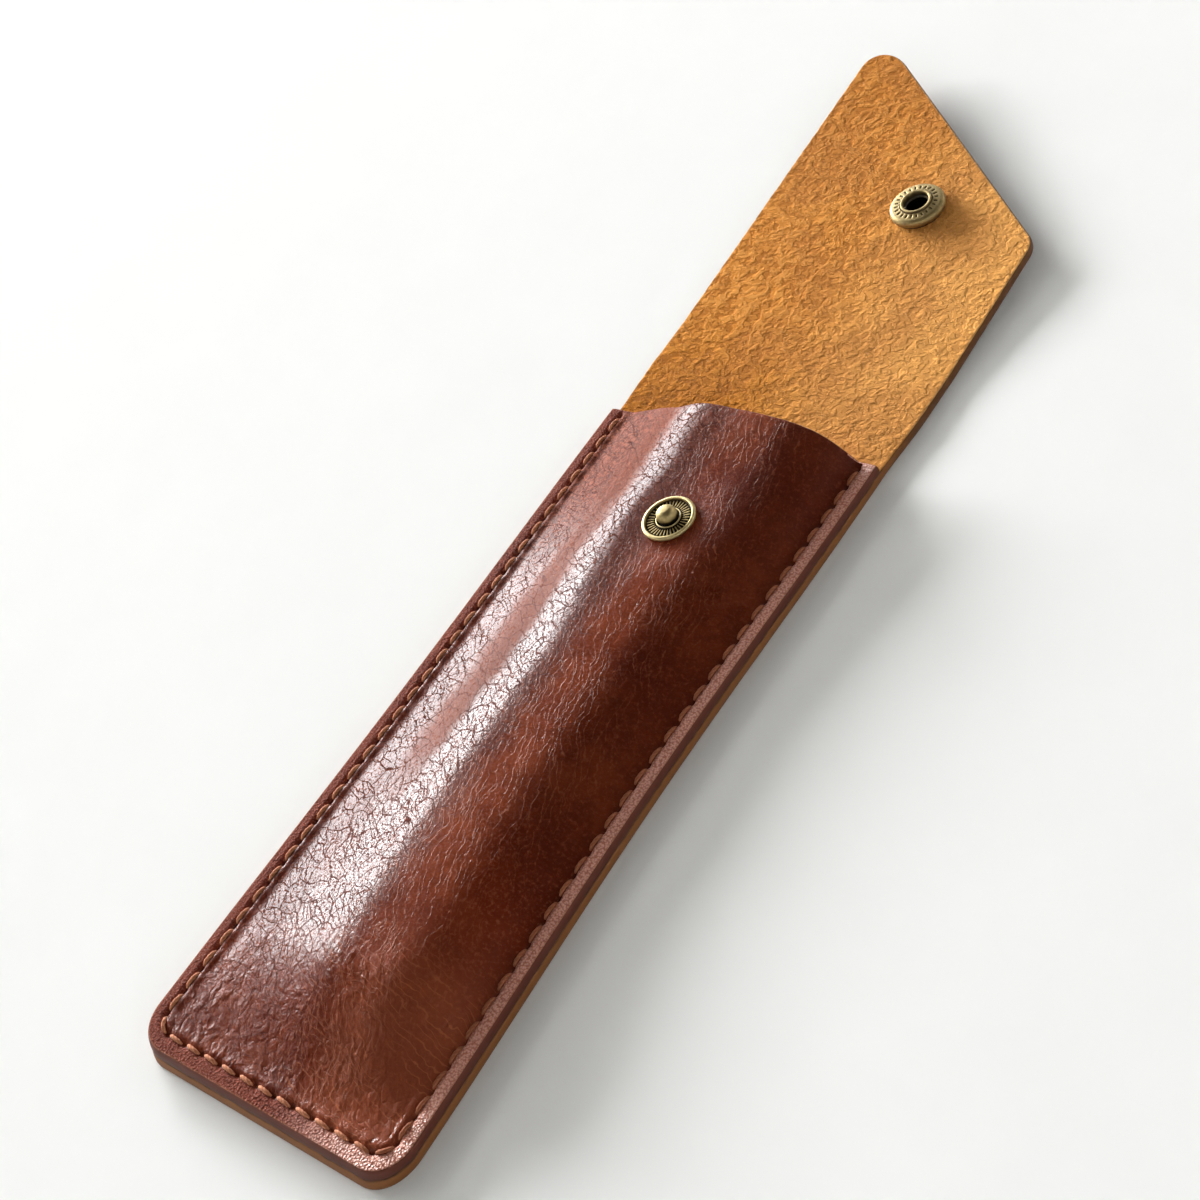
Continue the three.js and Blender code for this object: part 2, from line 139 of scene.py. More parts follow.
# Left flank: slope by the seam as a share of that below the ridge, and depth of the hollow between them
middle_flank = (0.6, 0.5)
low_flank = (0.6, 0.05)
top_flank = (0.75, 0.45)

# Stretches over which the bulge changes, measured from the bottom of the pocket
low_flank_run = (80, 45)
top_flank_run = (84, 114)
low_peak_run = (70, 20)
flatness_run = (95, 125)
slack_run = (35, 65)

# Relief of the leather
wide_sway = 0.16
small_sway = 0.06
long_crease = 0.05
net_crease = 0.01
nap_lump = 0.16
nap_wrinkle = 0.07

# Seam
stitch_inset = 3
stitch_pitch_wanted = 4.4
stitch_share = 0.68  # visible part of each stitch
thread_radius = 0.36
thread_plies = 3
ply_turns = 1.15  # turns of the plies in one stitch
groove_depth = 0.26
hole_depth = 0.5
inner_pucker = 0.26
outer_pucker = 0.1
seam_end = 1.6  # the seam stops this far below the mouth
seam_radius = corner_radius - stitch_inset
seam_top = mouth - seam_end
corner_level = bottom + corner_radius
corner_across = half_width - corner_radius
seam_side = seam_top - corner_level
seam_corner = seam_radius * math.pi / 2
past_left = seam_side + seam_corner  # distance along the seam to the end of its left corner
past_bottom = past_left + 2 * corner_across  # and to the start of its right corner
seam_length = past_bottom + seam_corner + seam_side
stitch_count = round(seam_length / stitch_pitch_wanted)
stitch_pitch = seam_length / stitch_count

# Press snap on the flap
socket_across = stud_place[0]
socket_along = mouth + 60.5
snap_gap = 0.02  # between its pieces and the leather

# Fineness of the meshes
front_steps = (0.6, 0.48, 0.3)  # across, along, and across beside the seam
back_steps = (0.9, 0.7, 0.4)
seam_zone = 6.0  # width of the finer columns along each side
corner_rows = 24
fold_rows = 10
fold_columns = 103
flap_rows = 150
flap_end_points = (24, 84, 12)  # round its tip, along its slant and round its right corner
stitch_steps = 15
stitch_sides = 15

# Stage
table_glow = 0.02
aim = Vector((0.0, -0.01, 0.0))


# Number helpers


def smoothstep(value, start, end):
    share = np.clip((value - start) / (end - start), 0, 1)
    return share * share * (3 - 2 * share)


def bell(value, width):
    return np.exp(-((value / width) ** 2))


def mixed(a, b, share):
    return a + (b - a) * share


def full_turn(count):
    return 2 * np.pi * np.arange(count) / count


def lattice(column, row, seed):
    """A fixed pseudo-random number from 0 to 1 for each lattice point."""
    mask = 0xFFFFFFFF
    number = column.astype(np.int64) * 374761393 + row.astype(np.int64) * 668265263 + seed * 974634777
    number = number & mask
    number = ((number ^ (number >> 13)) * 1274126177) & mask
    return ((number ^ (number >> 16)) & 0xFFFFFF) / 0xFFFFFF


def soft_noise(x, y, seed):
    """Smooth noise of about -1 to 1 that changes over one unit of x or y."""
    column = np.floor(x)
    row = np.floor(y)
    share_x = x - column
    share_y = y - row

    def slope(right, up):
        angle = 2 * np.pi * lattice(column + right, row + up, seed)
        return np.cos(angle) * (share_x - right) + np.sin(angle) * (share_y - up)

    ease_x = share_x**3 * (share_x * (share_x * 6 - 15) + 10)
    ease_y = share_y**3 * (share_y * (share_y * 6 - 15) + 10)
    low = mixed(slope(0, 0), slope(1, 0), ease_x)
    high = mixed(slope(0, 1), slope(1, 1), ease_x)
    return 1.4 * mixed(low, high, ease_y)


def shifted_about(x, y, size, amount, seed):
    """Plan points moved about by up to an amount, in waves of a size."""
    move_x = amount * soft_noise(x / size, y / size, seed)
    move_y = amount * soft_noise(x / size, y / size, seed + 1)
    return x + move_x, y + move_y


def crease_lines(x, y, width, seed):
    """1 along meandering lines and 0 between them."""
    return bell(soft_noise(x, y, seed), width)


# Outlines


def side_at(side, y):
    """Distance of a side edge of the pocket from the middle line."""
    share = np.clip((y - bottom) / pocket_length, 0, 1)
    return half_width - draw_in[side] * np.sin(np.pi * share) ** 2


def sheet_half(side, y):
    """Distance of a side edge of the back sheet and flap from the middle line."""
    return side_at(side, y) + flap_flare * smoothstep(y, mouth, mouth + flare_run)


def rim_and_run(x, y):
    """Distance in from the outline of the pocket, and distance along its seam from the left end."""
    side = np.minimum(side_at(-1, y) + x, side_at(1, y) - x)
    low = y - bottom
    corner_x = np.abs(x) - corner_across
    corner_y = corner_level - y
    in_corner = (corner_x > 0) & (corner_y > 0)
    rim = np.where(in_corner, corner_radius - np.hypot(corner_x, corner_y), np.minimum(side, low))
    turn = seam_radius * np.arctan2(np.maximum(corner_y, 0), np.maximum(corner_x, 1e-9))
    run_left = np.where(in_corner, seam_side + turn, seam_top - y)
    run_right = past_bottom + seam_corner + np.where(in_corner, -turn, y - corner_level)
    run_side = np.where(x < 0, run_left, run_right)
    run = np.where(in_corner | (side < low), run_side, past_left + x + corner_across)
    return rim, run


def seam_turn(side, spoke):
    """Plan point and direction of the seam line at a spoke of its left (-1) or right (1) corner."""
    centre = np.array([side * corner_across, corner_level])
    return centre + seam_radius * spoke, np.array([-spoke[1], spoke[0]])


def seam_point(run):
    """Plan point and direction of the seam line at a distance along it."""
    if run < seam_side:
        y = seam_top - run
        return np.array([stitch_inset - side_at(-1, y), y]), np.array([0.0, -1.0])
    if run < past_left:
        turn = (run - seam_side) / seam_radius
        return seam_turn(-1, np.array([-math.cos(turn), -math.sin(turn)]))
    if run < past_bottom:
        return np.array([run - past_left - corner_across, bottom + stitch_inset]), np.array([1.0, 0.0])
    if run < past_bottom + seam_corner:
        turn = (run - past_bottom) / seam_radius
        return seam_turn(1, np.array([math.sin(turn), -math.cos(turn)]))
    y = corner_level + run - past_bottom - seam_corner
    return np.array([side_at(1, y) - stitch_inset, y]), np.array([0.0, 1.0])


# Meshes

TOP, UNDER, EDGE, BORDER = range(4)  # kinds of faces on a sheet of leather


def add_object(name, data):
    made = bpy.data.objects.new(name, data)
    bpy.context.scene.collection.objects.link(made)
    return made


def add_piece(name, points, faces, materials, kinds=None, fields=None, crease_degrees=42):
    """An object from points in millimetres, with a kind for each face and fields of values for the points."""
    mesh = bpy.data.meshes.new(name)
    mesh.from_pydata((np.asarray(points) * MM).tolist(), [], faces)
    for material in materials:
        mesh.materials.append(material)
    if kinds is not None:
        mesh.polygons.foreach_set("material_index", np.asarray(kinds, np.int32))
    for field, values in (fields or {}).items():
        values = np.asarray(values, np.float32)
        if values.ndim == 2:
            mesh.attributes.new(field, "FLOAT_VECTOR", "POINT").data.foreach_set("vector", values.ravel())
        else:
            mesh.attributes.new(field, "FLOAT", "POINT").data.foreach_set("value", values)
    mesh.shade_smooth()
    mesh.set_sharp_from_angle(angle=math.radians(crease_degrees))
    mesh.update()
    return add_object(name, mesh)


def edge_loop(plan, index, cut_start, cut_end):
    """Numbers of the points round a grid, and the direction outwards at each. A cut row has none."""
    rows, columns = index.shape
    loop = np.concatenate([index[0, :-1], index[:-1, -1], index[-1, :0:-1], index[:0:-1, 0]])
    ring = plan[loop]
    ahead = np.roll(ring, -1, axis=0) - np.roll(ring, 1, axis=0)
    outward = np.column_stack([ahead[:, 1], -ahead[:, 0]])
    outward /= np.linalg.norm(outward, axis=1, keepdims=True)
    row, column = np.divmod(loop, columns)
    at_side = (column == 0) | (column == columns - 1)
    is_cut = (cut_start & (row == 0)) | (cut_end & (row == rows - 1))
    outward[is_cut] = 0
    outward[is_cut & at_side, 0] = np.sign(ring[is_cut & at_side, 0])
    return loop, outward


def rounded_edge(radius, degrees):
    """How far a rounded edge stands out from its plan points, and how far it has dropped, at an angle."""
    angle = math.radians(degrees)
    return edge_round + radius * (math.sin(angle) - 1), radius * (1 - math.cos(angle))


def sheet_shell(x, y, top, under, cut_start=False, cut_end=False, lean=(0.0, 0.0)):
    """A closed sheet of leather between two heights over one grid of plan points, with rubbed edges.

    Rows run along +Y and columns along +X. A cut row gets a flat end. "lean" carries the bottom edge
    outwards, at the top and at the underside. Returns the points, the faces and the kind of each face.
    """
    count = x.size
    index = np.arange(count).reshape(x.shape)
    plan = np.column_stack([x.ravel(), y.ravel()])
    loop, outward = edge_loop(plan, index, cut_start, cut_end)
    leaning = np.clip(-outward[:, 1], 0, 1) ** 2
    high = top.ravel()[loop]
    low = under.ravel()[loop]
    upper = [rounded_edge(edge_round, degrees) for degrees in (30, 60, 90)]
    lower = [rounded_edge(joint_round, degrees) for degrees in (90, 45)]
    levels = [(reach, high - drop) for reach, drop in upper]
    levels.append((edge_round + edge_swell, (high + low) / 2))
    levels += [(reach, low + drop) for reach, drop in lower]

    points = [np.column_stack([plan, top.ravel()]), np.column_stack([plan, under.ravel()])]
    quads = np.stack([index[:-1, :-1], index[:-1, 1:], index[1:, 1:], index[1:, :-1]], -1).reshape(-1, 4)
    faces = [quads, (quads + count)[:, ::-1]]
    kinds = [np.full(len(quads), TOP), np.full(len(quads), UNDER)]
    rings = [loop]
    for number, (reach, height) in enumerate(levels):
        share = (high - height) / np.maximum(high - low, 1e-9)
        spread = reach + leaning * mixed(*lean, share)
        points.append(np.column_stack([plan[loop] + outward * spread[:, None], height]))
        rings.append(2 * count + number * len(loop) + np.arange(len(loop)))
    rings.append(loop + count)
    for number, (above, below) in enumerate(zip(rings, rings[1:])):
        faces.append(np.stack([above, below, np.roll(below, -1), np.roll(above, -1)], -1))
        kinds.append(np.full(len(loop), TOP if number == 0 else EDGE))
    return np.concatenate(points), np.concatenate(faces).tolist(), np.concatenate(kinds)


def ring_faces(rings, segments):
    """Numbers of the points in some rings, those of their neighbours, and the faces between the rings."""
    index = np.arange(rings * segments).reshape(rings, segments)
    after = np.roll(index, -1, axis=1)
    faces = np.stack([index[:-1], after[:-1], after[1:], index[1:]], -1).reshape(-1, 4).tolist()
    return index, after, faces


def around(radius, angle, height):
    """Points at a radius and an angle round +Z, and at a height."""
    return np.stack(np.broadcast_arrays(radius * np.cos(angle), radius * np.sin(angle), height), -1)


def swept_tube(line, radius, sides):
    """A closed tube along a line of points. The radius is one number, or one for each step and side."""
    line = np.asarray(line, float)
    ahead = np.gradient(line, axis=0)
    ahead /= np.linalg.norm(ahead, axis=1, keepdims=True)
    across = np.cross(ahead, [0.0, 0.0, 1.0])
    across /= np.linalg.norm(across, axis=1, keepdims=True)
    upward = np.cross(across, ahead)
    angle = full_turn(sides)
    ring = across[:, None] * np.cos(angle)[None, :, None] + upward[:, None] * np.sin(angle)[None, :, None]
    reach = np.broadcast_to(radius, (len(line), sides))
    points = (line[:, None] + ring * reach[..., None]).reshape(-1, 3)
    index, after, faces = ring_faces(len(line), sides)
    faces.append(index[0, ::-1].tolist())
    faces.append(index[-1].tolist())
    return points, faces


def joined(parts):
    """One list of points and faces from several."""
    points = []
    faces = []
    start = 0
    for part_points, part_faces in parts:
        points.append(part_points)
        faces += [[corner + start for corner in face] for face in part_faces]
        start += len(part_points)
    return np.concatenate(points), faces


def profile_arc(radius, height, bend, start, end, steps):
    """Points of a round stretch of a turned profile, between two angles in degrees."""
    angles = np.radians(np.linspace(start, end, steps + 1))
    return [(radius + bend * math.cos(angle), height + bend * math.sin(angle)) for angle in angles]


def turned(profile, segments, relief=None):
    """A solid turned round +Z from (radius, height) points that start and end on the axis."""
    profile = np.asarray(profile, float)
    angle = full_turn(segments)
    radius = np.repeat(profile[1:-1, :1], segments, axis=1)
    height = np.repeat(profile[1:-1, 1:], segments, axis=1)
    if relief is not None:
        height = height + relief(radius, angle[None, :])
    ring_points = around(radius, angle, height).reshape(-1, 3)
    poles = [[0, 0, profile[0, 1]], [0, 0, profile[-1, 1]]]
    index, after, faces = ring_faces(len(profile) - 2, segments)
    faces += [[index.size, b, a] for a, b in zip(index[0], after[0])]
    faces += [[index.size + 1, a, b] for a, b in zip(index[-1], after[-1])]
    return np.concatenate([ring_points, poles]), faces


# Shader nodes


def hex_colour(text):
    """Linear colour of a hex code as it is seen on a screen."""
    seen = [int(text[i : i + 2], 16) / 255 for i in (1, 3, 5)]
    return (*[c / 12.92 if c <= 0.04045 else ((c + 0.055) / 1.055) ** 2.4 for c in seen], 1.0)


class Paint:
    """The node tree of one material, with short names for the nodes it uses. Colours may be hex codes."""

    def __init__(self, name):
        self.material = bpy.data.materials.new(name)
        self.material.use_nodes = True
        self.tree = self.material.node_tree
        self.tree.nodes.clear()

    def put(self, socket, value):
        if isinstance(value, bpy.types.NodeSocket):
            self.tree.links.new(value, socket)
        else:
            socket.default_value = hex_colour(value) if isinstance(value, str) else value

    def node(self, kind, inputs, **settings):
        """Adds a node and returns its outputs."""
        made = self.tree.nodes.new("ShaderNode" + kind)
        for key, value in settings.items():
            setattr(made, key, value)
        for key, value in inputs.items():
            if value is not None:
                self.put(made.inputs[key], value)
        return made.outputs

    def field(self, name):
        return self.node("Attribute", {}, attribute_name=name)["Fac"]

    def place(self):
        return self.node("Attribute", {}, attribute_name="rest")["Vector"]

    def part(self, vector, axis):
        return self.node("SeparateXYZ", {0: vector})[axis]

    def math(self, operation, a, b=0.0):
        return self.node("Math", {0: a, 1: b}, operation=operation)[0]

    def times(self, *values):
        return reduce(partial(self.math, "MULTIPLY"), values)

    def most(self, *values):
        return reduce(partial(self.math, "MAXIMUM"), values)

    def between(self, value, low, high):
        """0 below low and 1 above high, or the other way round where low is the larger."""
        (start, at_start), (end, at_end) = sorted([(low, 0.0), (high, 1.0)])
        inputs = {"Value": value, "From Min": start, "From Max": end, "To Min": at_start, "To Max": at_end}
        return self.node("MapRange", inputs, interpolation_type="SMOOTHSTEP")["Result"]

    def blend(self, share, a, b):
        return self.node("Mix", {0: share, 2: a, 3: b}, data_type="FLOAT")[0]

    def mix(self, share, a, b):
        return self.node("Mix", {0: share, 6: a, 7: b}, data_type="RGBA")[2]

    def layered(self, colour, layers):
        """A colour with others laid over it in turn, each where its share is and by its amount."""
        for share, amount, shade in layers:
            colour = self.mix(self.times(share, amount), colour, shade)
        return colour

    def ramp(self, value, stops):
        made = self.tree.nodes.new("ShaderNodeValToRGB")
        self.put(made.inputs[0], value)
        elements = made.color_ramp.elements
        while len(elements) < len(stops):
            elements.new(1.0)
        for element, (position, colour) in zip(elements, stops):
            element.position = position
            element.color = hex_colour(colour)
        return made.outputs["Color"]

    def vector(self, operation, a, b):
        return self.node("VectorMath", {0: a, 1: b}, operation=operation)[0]

    def scaled(self, vector, *factors):
        return self.vector("MULTIPLY", vector, factors)

    def turned(self, vector, degrees):
        inputs = {"Vector": vector, "Angle": math.radians(degrees)}
        return self.node("VectorRotate", inputs, rotation_type="Z_AXIS")[0]

    def noise(self, vector, scale, detail=2.0, roughness=0.5):
        inputs = {"Vector": vector, "Scale": scale, "Detail": detail, "Roughness": roughness}
        return self.node("TexNoise", inputs)["Fac"]

    def warped(self, vector, scale, amount):
        """The places shifted about by up to half the amount."""
        drift = self.node("TexNoise", {"Vector": vector, "Scale": scale, "Detail": 2.0})["Color"]
        centred = self.vector("SUBTRACT", drift, (0.5, 0.5, 0.5))
        return self.vector("ADD", vector, self.scaled(centred, amount, amount, amount))

    def cells(self, vector, scale, feature):
        inputs = {"Vector": vector, "Scale": scale}
        return self.node("TexVoronoi", inputs, voronoi_dimensions="2D", feature=feature)["Distance"]

    def net(self, vector, scale, width):
        """1 along the lines of a net and 0 inside its meshes. The width is half the width of a line."""
        return self.between(self.cells(vector, scale, "DISTANCE_TO_EDGE"), width * scale, 0.2 * width * scale)

    def strokes(self, vector, kinds):
        """1 along thin lines that fade in and out, and 0 between them.

        Each kind has the angle at which its lines mostly run below +X, their spacing, half width and cover.
        """
        drawn = []
        for degrees, spacing, width, cover in kinds:
            facing = self.turned(vector, degrees)
            drift = self.noise(self.scaled(facing, 0.12, 1.0, 1.0), 0.3)
            shifted = self.math("ADD", self.part(facing, "Y"), self.times(drift, 2.5 * spacing))
            line = self.between(self.math("PINGPONG", shifted, spacing / 2), width, 0.2 * width)
            patches = self.noise(self.scaled(facing, 0.4, 1.0, 1.0), 0.28)
            drawn.append(self.times(line, self.between(patches, cover + 0.1, cover - 0.1)))
        return self.most(*drawn)

    def bump(self, height, depth, strength=1.0, normal=None):
        inputs = {"Height": height, "Distance": depth * MM, "Strength": strength, "Normal": normal}
        return self.node("Bump", inputs)["Normal"]

    def shown(self, surface):
        """Puts a shader on the surface and returns the material."""
        self.node("OutputMaterial", {0: surface})
        return self.material

    def finish(self, colour, roughness, normal=None, specular=0.5, metallic=0.0):
        """Puts the main shader on the surface and returns the material."""
        inputs = {"Base Color": colour, "Roughness": roughness, "Normal": normal, "Metallic": metallic}
        inputs["Specular IOR Level"] = specular
        return self.shown(self.node("BsdfPrincipled", inputs)[0])


# Materials


def leather_colour(paint, place):
    """Reddish brown that drifts between dark mahogany and orange brown, and the mottling in it."""
    tone = paint.noise(place, 0.05, 3.0, 0.55)
    colour = paint.ramp(tone, [(0.3, "#571f0f"), (0.5, "#6d2a14"), (0.7, "#823a1d")])
    mottle = paint.noise(paint.warped(place, 0.3, 3.0), 0.35, 4.0, 0.6)
    return paint.layered(colour, [(paint.between(mottle, 0.6, 0.38), 0.4, "#571f0e")]), mottle


def front_zones(paint, place, shaken):
    """Places of the front panel, as values from 0 to 1; some of them carry painted light or shade. Each zone
    lies between some limits.
    """
    across, along, height = [paint.part(place, axis) for axis in "XYZ"]
    uneven = paint.part(shaken, "X")
    on_front = [(height, leather / 2, leather), (along, mouth + 3, mouth + 1)]
    on_left = [(across, 6.0, -1.0)]
    in_hollow = [(uneven, -20.0, -14.5), (uneven, -8.0, -12.0), (along, bottom + 48, bottom + 70)]
    zones = {
        "front": on_front,
        "left": on_left,
        "inner_left": [(across, -17.0, -9.0)],
        "seam_side": [(across, -13.0, -18.0)],
        "corner": [(along, bottom + 34, bottom + 12), *on_left, *on_front],
        "hollow": [*in_hollow, *on_front],
        "mouth": [(along, mouth - 55, mouth - 15), (uneven, -8.0, -13.0), *on_front],
        "stud": [(along, mouth - 50, mouth - 25)],
        "ridge": [(across, -4.0, 3.0), (across, 26.0, 10.0)],
        # painted shade: the right flank faces away from the lamps
        "flank": [(across, 9.0, 16.0), (along, bottom + 42, bottom + 62), *on_front],
        "low_end": [(along, bottom + 36, bottom + 24), (across, -5.0, 3.0)],
        # painted light: a sheen at the low right end
        "low_right": [(across, 2.0, 12.0), (along, bottom + 45, bottom + 18)],
    }
    shares = {name: [paint.between(*limit) for limit in limits] for name, limits in zones.items()}
    return SimpleNamespace(**{name: paint.times(*parts) for name, parts in shares.items()})


def dark_creases(paint, shaken, zones):
    """A net of lines and slanted strokes on the left, fainter in the calm places. Their colour is painted
    shade on the lit side.
    """
    veins = paint.net(paint.scaled(paint.turned(shaken, 44.0), 0.7, 1.0, 1.0), 0.36, 0.13)
    veins = paint.times(veins, paint.blend(zones.mouth, 1.0, 0.8))
    slanted = paint.strokes(shaken, [(31.0, 1.33, 0.1, 0.52), (50.0, 1.6, 0.1, 0.48)])
    calm = paint.most(zones.hollow, zones.corner, paint.math("SUBTRACT", 1.0, zones.front))
    return paint.times(paint.most(veins, slanted), zones.left, paint.blend(calm, 1.0, 0.6))


def light_creases(paint, shaken, zones, grain):
    """Broken lines along the ridge and the right flank, and whole ones across the low end. Their colour is a
    painted highlight, as if their ridges caught the light.
    """
    kinds = [(70.0, 1.3, 0.13, 0.52), (83.0, 1.6, 0.12, 0.49), (55.0, 1.8, 0.12, 0.45)]
    broken = paint.blend(paint.between(grain, 0.41, 0.56), 0.25, 1.0)
    ridge_lines = paint.times(paint.strokes(shaken, kinds), zones.ridge, broken)
    low_lines = paint.times(paint.strokes(shaken, [(14.0, 1.2, 0.13, 0.5)]), zones.low_end)
    return paint.most(ridge_lines, low_lines)


def colour_with_painted_light(paint, colour, zones, grain, dark_lines, light_lines):
    """The leather's colour with painted light and shade in it, its creases painted dark or light, and a
    lighter tint in its grain.
    """
    # painted shade: the base is darker on the left, under the highlight strips, so that they read whiter
    painted_dark_left = paint.times(zones.left, paint.blend(zones.inner_left, 0.35, 0.55))
    speckled = paint.blend(paint.between(grain, 0.44, 0.58), 0.12, 0.62)
    # painted light: the base is lighter in the hollow and by the mouth on the lit left flank
    painted_light_left = paint.most(paint.times(zones.mouth, speckled), paint.times(zones.hollow, 0.45))
    layers = [
        (painted_dark_left, paint.blend(zones.corner, zones.front, 0.1), "#3f170c"),
        (painted_light_left, 1.0, "#a2583e"),
        # painted shade on the right flank
        (zones.flank, 0.45, "#34120a"),
        # painted sheen at the low right
        (zones.low_right, 0.34, "#a35c40"),
        # painted shade in the creases on the lit left side
        (dark_lines, 0.8, "#3f150b"),
        # painted highlight on the crease ridges, as if they caught the light
        (light_lines, paint.blend(zones.low_end, 0.34, 0.42), "#b8683f"),
        (paint.between(grain, 0.5, 0.7), paint.blend(zones.flank, 0.42, 0.2), "#985238"),
    ]
    return paint.layered(colour, layers)


def worn_roughness(paint, zones, mottle, pores, dark_lines, light_lines):
    """Glossy where the wax is whole, and dull in the pores, the creases and the worn places."""
    dull = [
        (dark_lines, 1.0),
        (paint.between(pores, 0.54, 0.62), 1.0),
        (light_lines, 0.85),
        (zones.seam_side, 0.12),
        (zones.corner, 0.25),
        (zones.hollow, 0.5),
        (zones.mouth, 0.65),
        (zones.stud, 0.14),
    ]
    dullest = paint.most(*[paint.times(share, amount) for share, amount in dull])
    return paint.blend(dullest, paint.blend(mottle, 0.16, 0.26), 0.95)


def waxed_leather():
    """Glossy leather with fine grain and creases, with light and shade painted into its colour: creases
    painted dark on the lit left and light on the ridge.
    """
    paint = Paint("waxed_leather")
    place = paint.place()
    shaken = paint.warped(paint.warped(place, 0.12, 5.0), 0.7, 0.9)
    zones = front_zones(paint, place, shaken)
    grain = paint.noise(place, 1.5, 3.0, 0.65)
    pores = paint.noise(place, 2.35, 2.0, 0.6)
    dark_lines = dark_creases(paint, shaken, zones)
    light_lines = light_creases(paint, shaken, zones, grain)
    lines = paint.math("SUBTRACT", light_lines, paint.times(dark_lines, 0.4))
    waves = paint.noise(paint.scaled(paint.turned(shaken, 38.0), 0.65, 1.0, 1.0), 0.4)
    crumpled = paint.most(zones.corner, paint.times(zones.low_end, 0.9))
    folds = paint.times(paint.math("ABSOLUTE", paint.math("SUBTRACT", waves, 0.5)), crumpled)
    normal = None
    for height, depth in ((folds, 0.75), (lines, 0.04), (grain, 0.075), (pores, 0.03)):
        normal = paint.bump(height, depth, normal=normal)
    plain, mottle = leather_colour(paint, place)
    colour = colour_with_painted_light(paint, plain, zones, grain, dark_lines, light_lines)
    rough = worn_roughness(paint, zones, mottle, pores, dark_lines, light_lines)
    return paint.finish(colour, rough, normal, specular=0.082)


def margin_leather():
    """The pebbled border outside the seam, with a painted sheen and painted glints on the right, and lighter
    along the edge, partly rubbed and partly a painted highlight.
    """
    paint = Paint("margin_leather")
    place = paint.place()
    pebble = paint.cells(paint.warped(place, 1.5, 0.4), 2.3, "F1")
    on_right = paint.between(paint.part(place, "X"), 2.0, 27.0)
    # painted glints on the pebble grain, stronger on the right
    painted_glints = paint.between(paint.noise(place, 3.2, 2.0, 0.6), 0.52, 0.68)
    layers = [
        (paint.between(pebble, 0.7, 0.2), 1.0, "#7e3826"),
        # painted sheen: the right border is lighter and pinker
        (on_right, 0.88, paint.mix(paint.between(pebble, 0.25, 0.6), "#e0a48f", "#b8705c")),
        (painted_glints, paint.blend(on_right, 0.15, 0.4), "#e6b9a9"),
        # lighter along the edge: partly rubbed wear, partly a painted highlight
        (paint.between(paint.field("rim"), 0.6, 0.15), 0.5, "#a8694a"),
    ]
    colour = paint.layered(leather_colour(paint, place)[0], layers)
    return paint.finish(colour, paint.blend(on_right, 0.9, 0.3), paint.bump(pebble, 0.16), specular=0.2)


def suede():
    """The flesh side of the leather: a tan nap with fine wrinkles, darker and more orange by the pocket,
    partly its own tone and partly painted shade, and painted lighter towards the right.
    """
    paint = Paint("suede")
    place = paint.place()
    along = paint.part(place, "Y")
    on_right = paint.between(paint.part(place, "X"), -12.0, 20.0)
    shaken = paint.warped(place, 0.3, 1.6)
    terraces = paint.between(paint.noise(shaken, 0.42, 3.0), 0.46, 0.54)
    small_terraces = paint.between(paint.noise(paint.scaled(shaken, 1.0, 1.3, 1.0), 0.8, 3.0), 0.44, 0.56)
    wrinkle = paint.blend(0.5, terraces, small_terraces)
    fibre = paint.noise(place, 2.4, 3.0, 0.7)
    tan = paint.ramp(wrinkle, [(0.0, "#bb742e"), (0.5, "#d78c3e"), (1.0, "#e2994a")])
    orange = paint.ramp(wrinkle, [(0.0, "#8c4f04"), (0.5, "#ad660a"), (1.0, "#bd720e")])
    layers = [
        # darker and more orange by the pocket: partly the nap's own tone, partly painted shade
        (paint.between(along, mouth + 34, mouth - 4), paint.blend(on_right, 1.0, 0.4), orange),
        # painted light: the nap is lighter towards the right
        (on_right, 0.62, "#f0b064"),
        (paint.between(paint.noise(place, 0.05, 3.0), 0.6, 0.4), 0.45, "#b4733a"),
        (paint.between(fibre, 0.55, 0.75), 0.6, "#e2b070"),
        (paint.between(along, mouth + 62, mouth + 100), 0.3, "#a8662a"),
        (paint.between(paint.field("rim"), 0.6, 0.2), 0.5, "#dcae76"),
    ]
    normal = paint.bump(fibre, 0.1, normal=paint.bump(wrinkle, 0.32))
    return paint.finish(paint.layered(tan, layers), 1.0, normal, specular=0.05)


def cut_edge():
    """Rubbed cut edge: dark reddish brown in the front panel, golden brown in the back sheet."""
    paint = Paint("cut_edge")
    place = paint.place()
    streak = paint.noise(paint.scaled(place, 0.35, 0.35, 3.0), 1.0, 4.0, 0.6)
    uneven = paint.times(paint.math("SUBTRACT", streak, 0.5), 0.2)
    share = paint.math("ADD", paint.math("DIVIDE", paint.part(place, "Z"), margin_top), uneven)
    back_stops = [(0.0, "#7c4c22"), (0.4, "#8a5629")]
    front_stops = [(0.5, "#3a1e10"), (0.6, "#57291a"), (1.0, "#652f1e")]
    on_flap_side = paint.between(paint.part(place, "Y"), mouth, mouth + 12)
    colour = paint.layered(paint.ramp(share, back_stops + front_stops), [(on_flap_side, 0.8, "#5c3716")])
    return paint.finish(colour, 0.55, paint.bump(streak, 0.08, 0.6), specular=0.3)


def sewing_thread():
    """Waxed tan thread, with painted shade between its plies and on the right seam."""
    paint = Paint("sewing_thread")
    place = paint.place()
    fluff = paint.noise(place, 4.0, 3.0, 0.6)
    on_right = paint.between(paint.part(place, "X"), 15.0, 27.0)
    # painted shade: the stitches of the right seam are darker
    layers = [(paint.between(fluff, 0.6, 0.3), 1.0, "#b87a56"), (on_right, 0.65, "#7d4026")]
    # painted shade between the plies
    colour = paint.layered(paint.mix(paint.field("ply"), "#b06341", "#e09d7a"), layers)
    return paint.finish(colour, 0.75, paint.bump(fluff, 0.05, 0.5), specular=0.15)


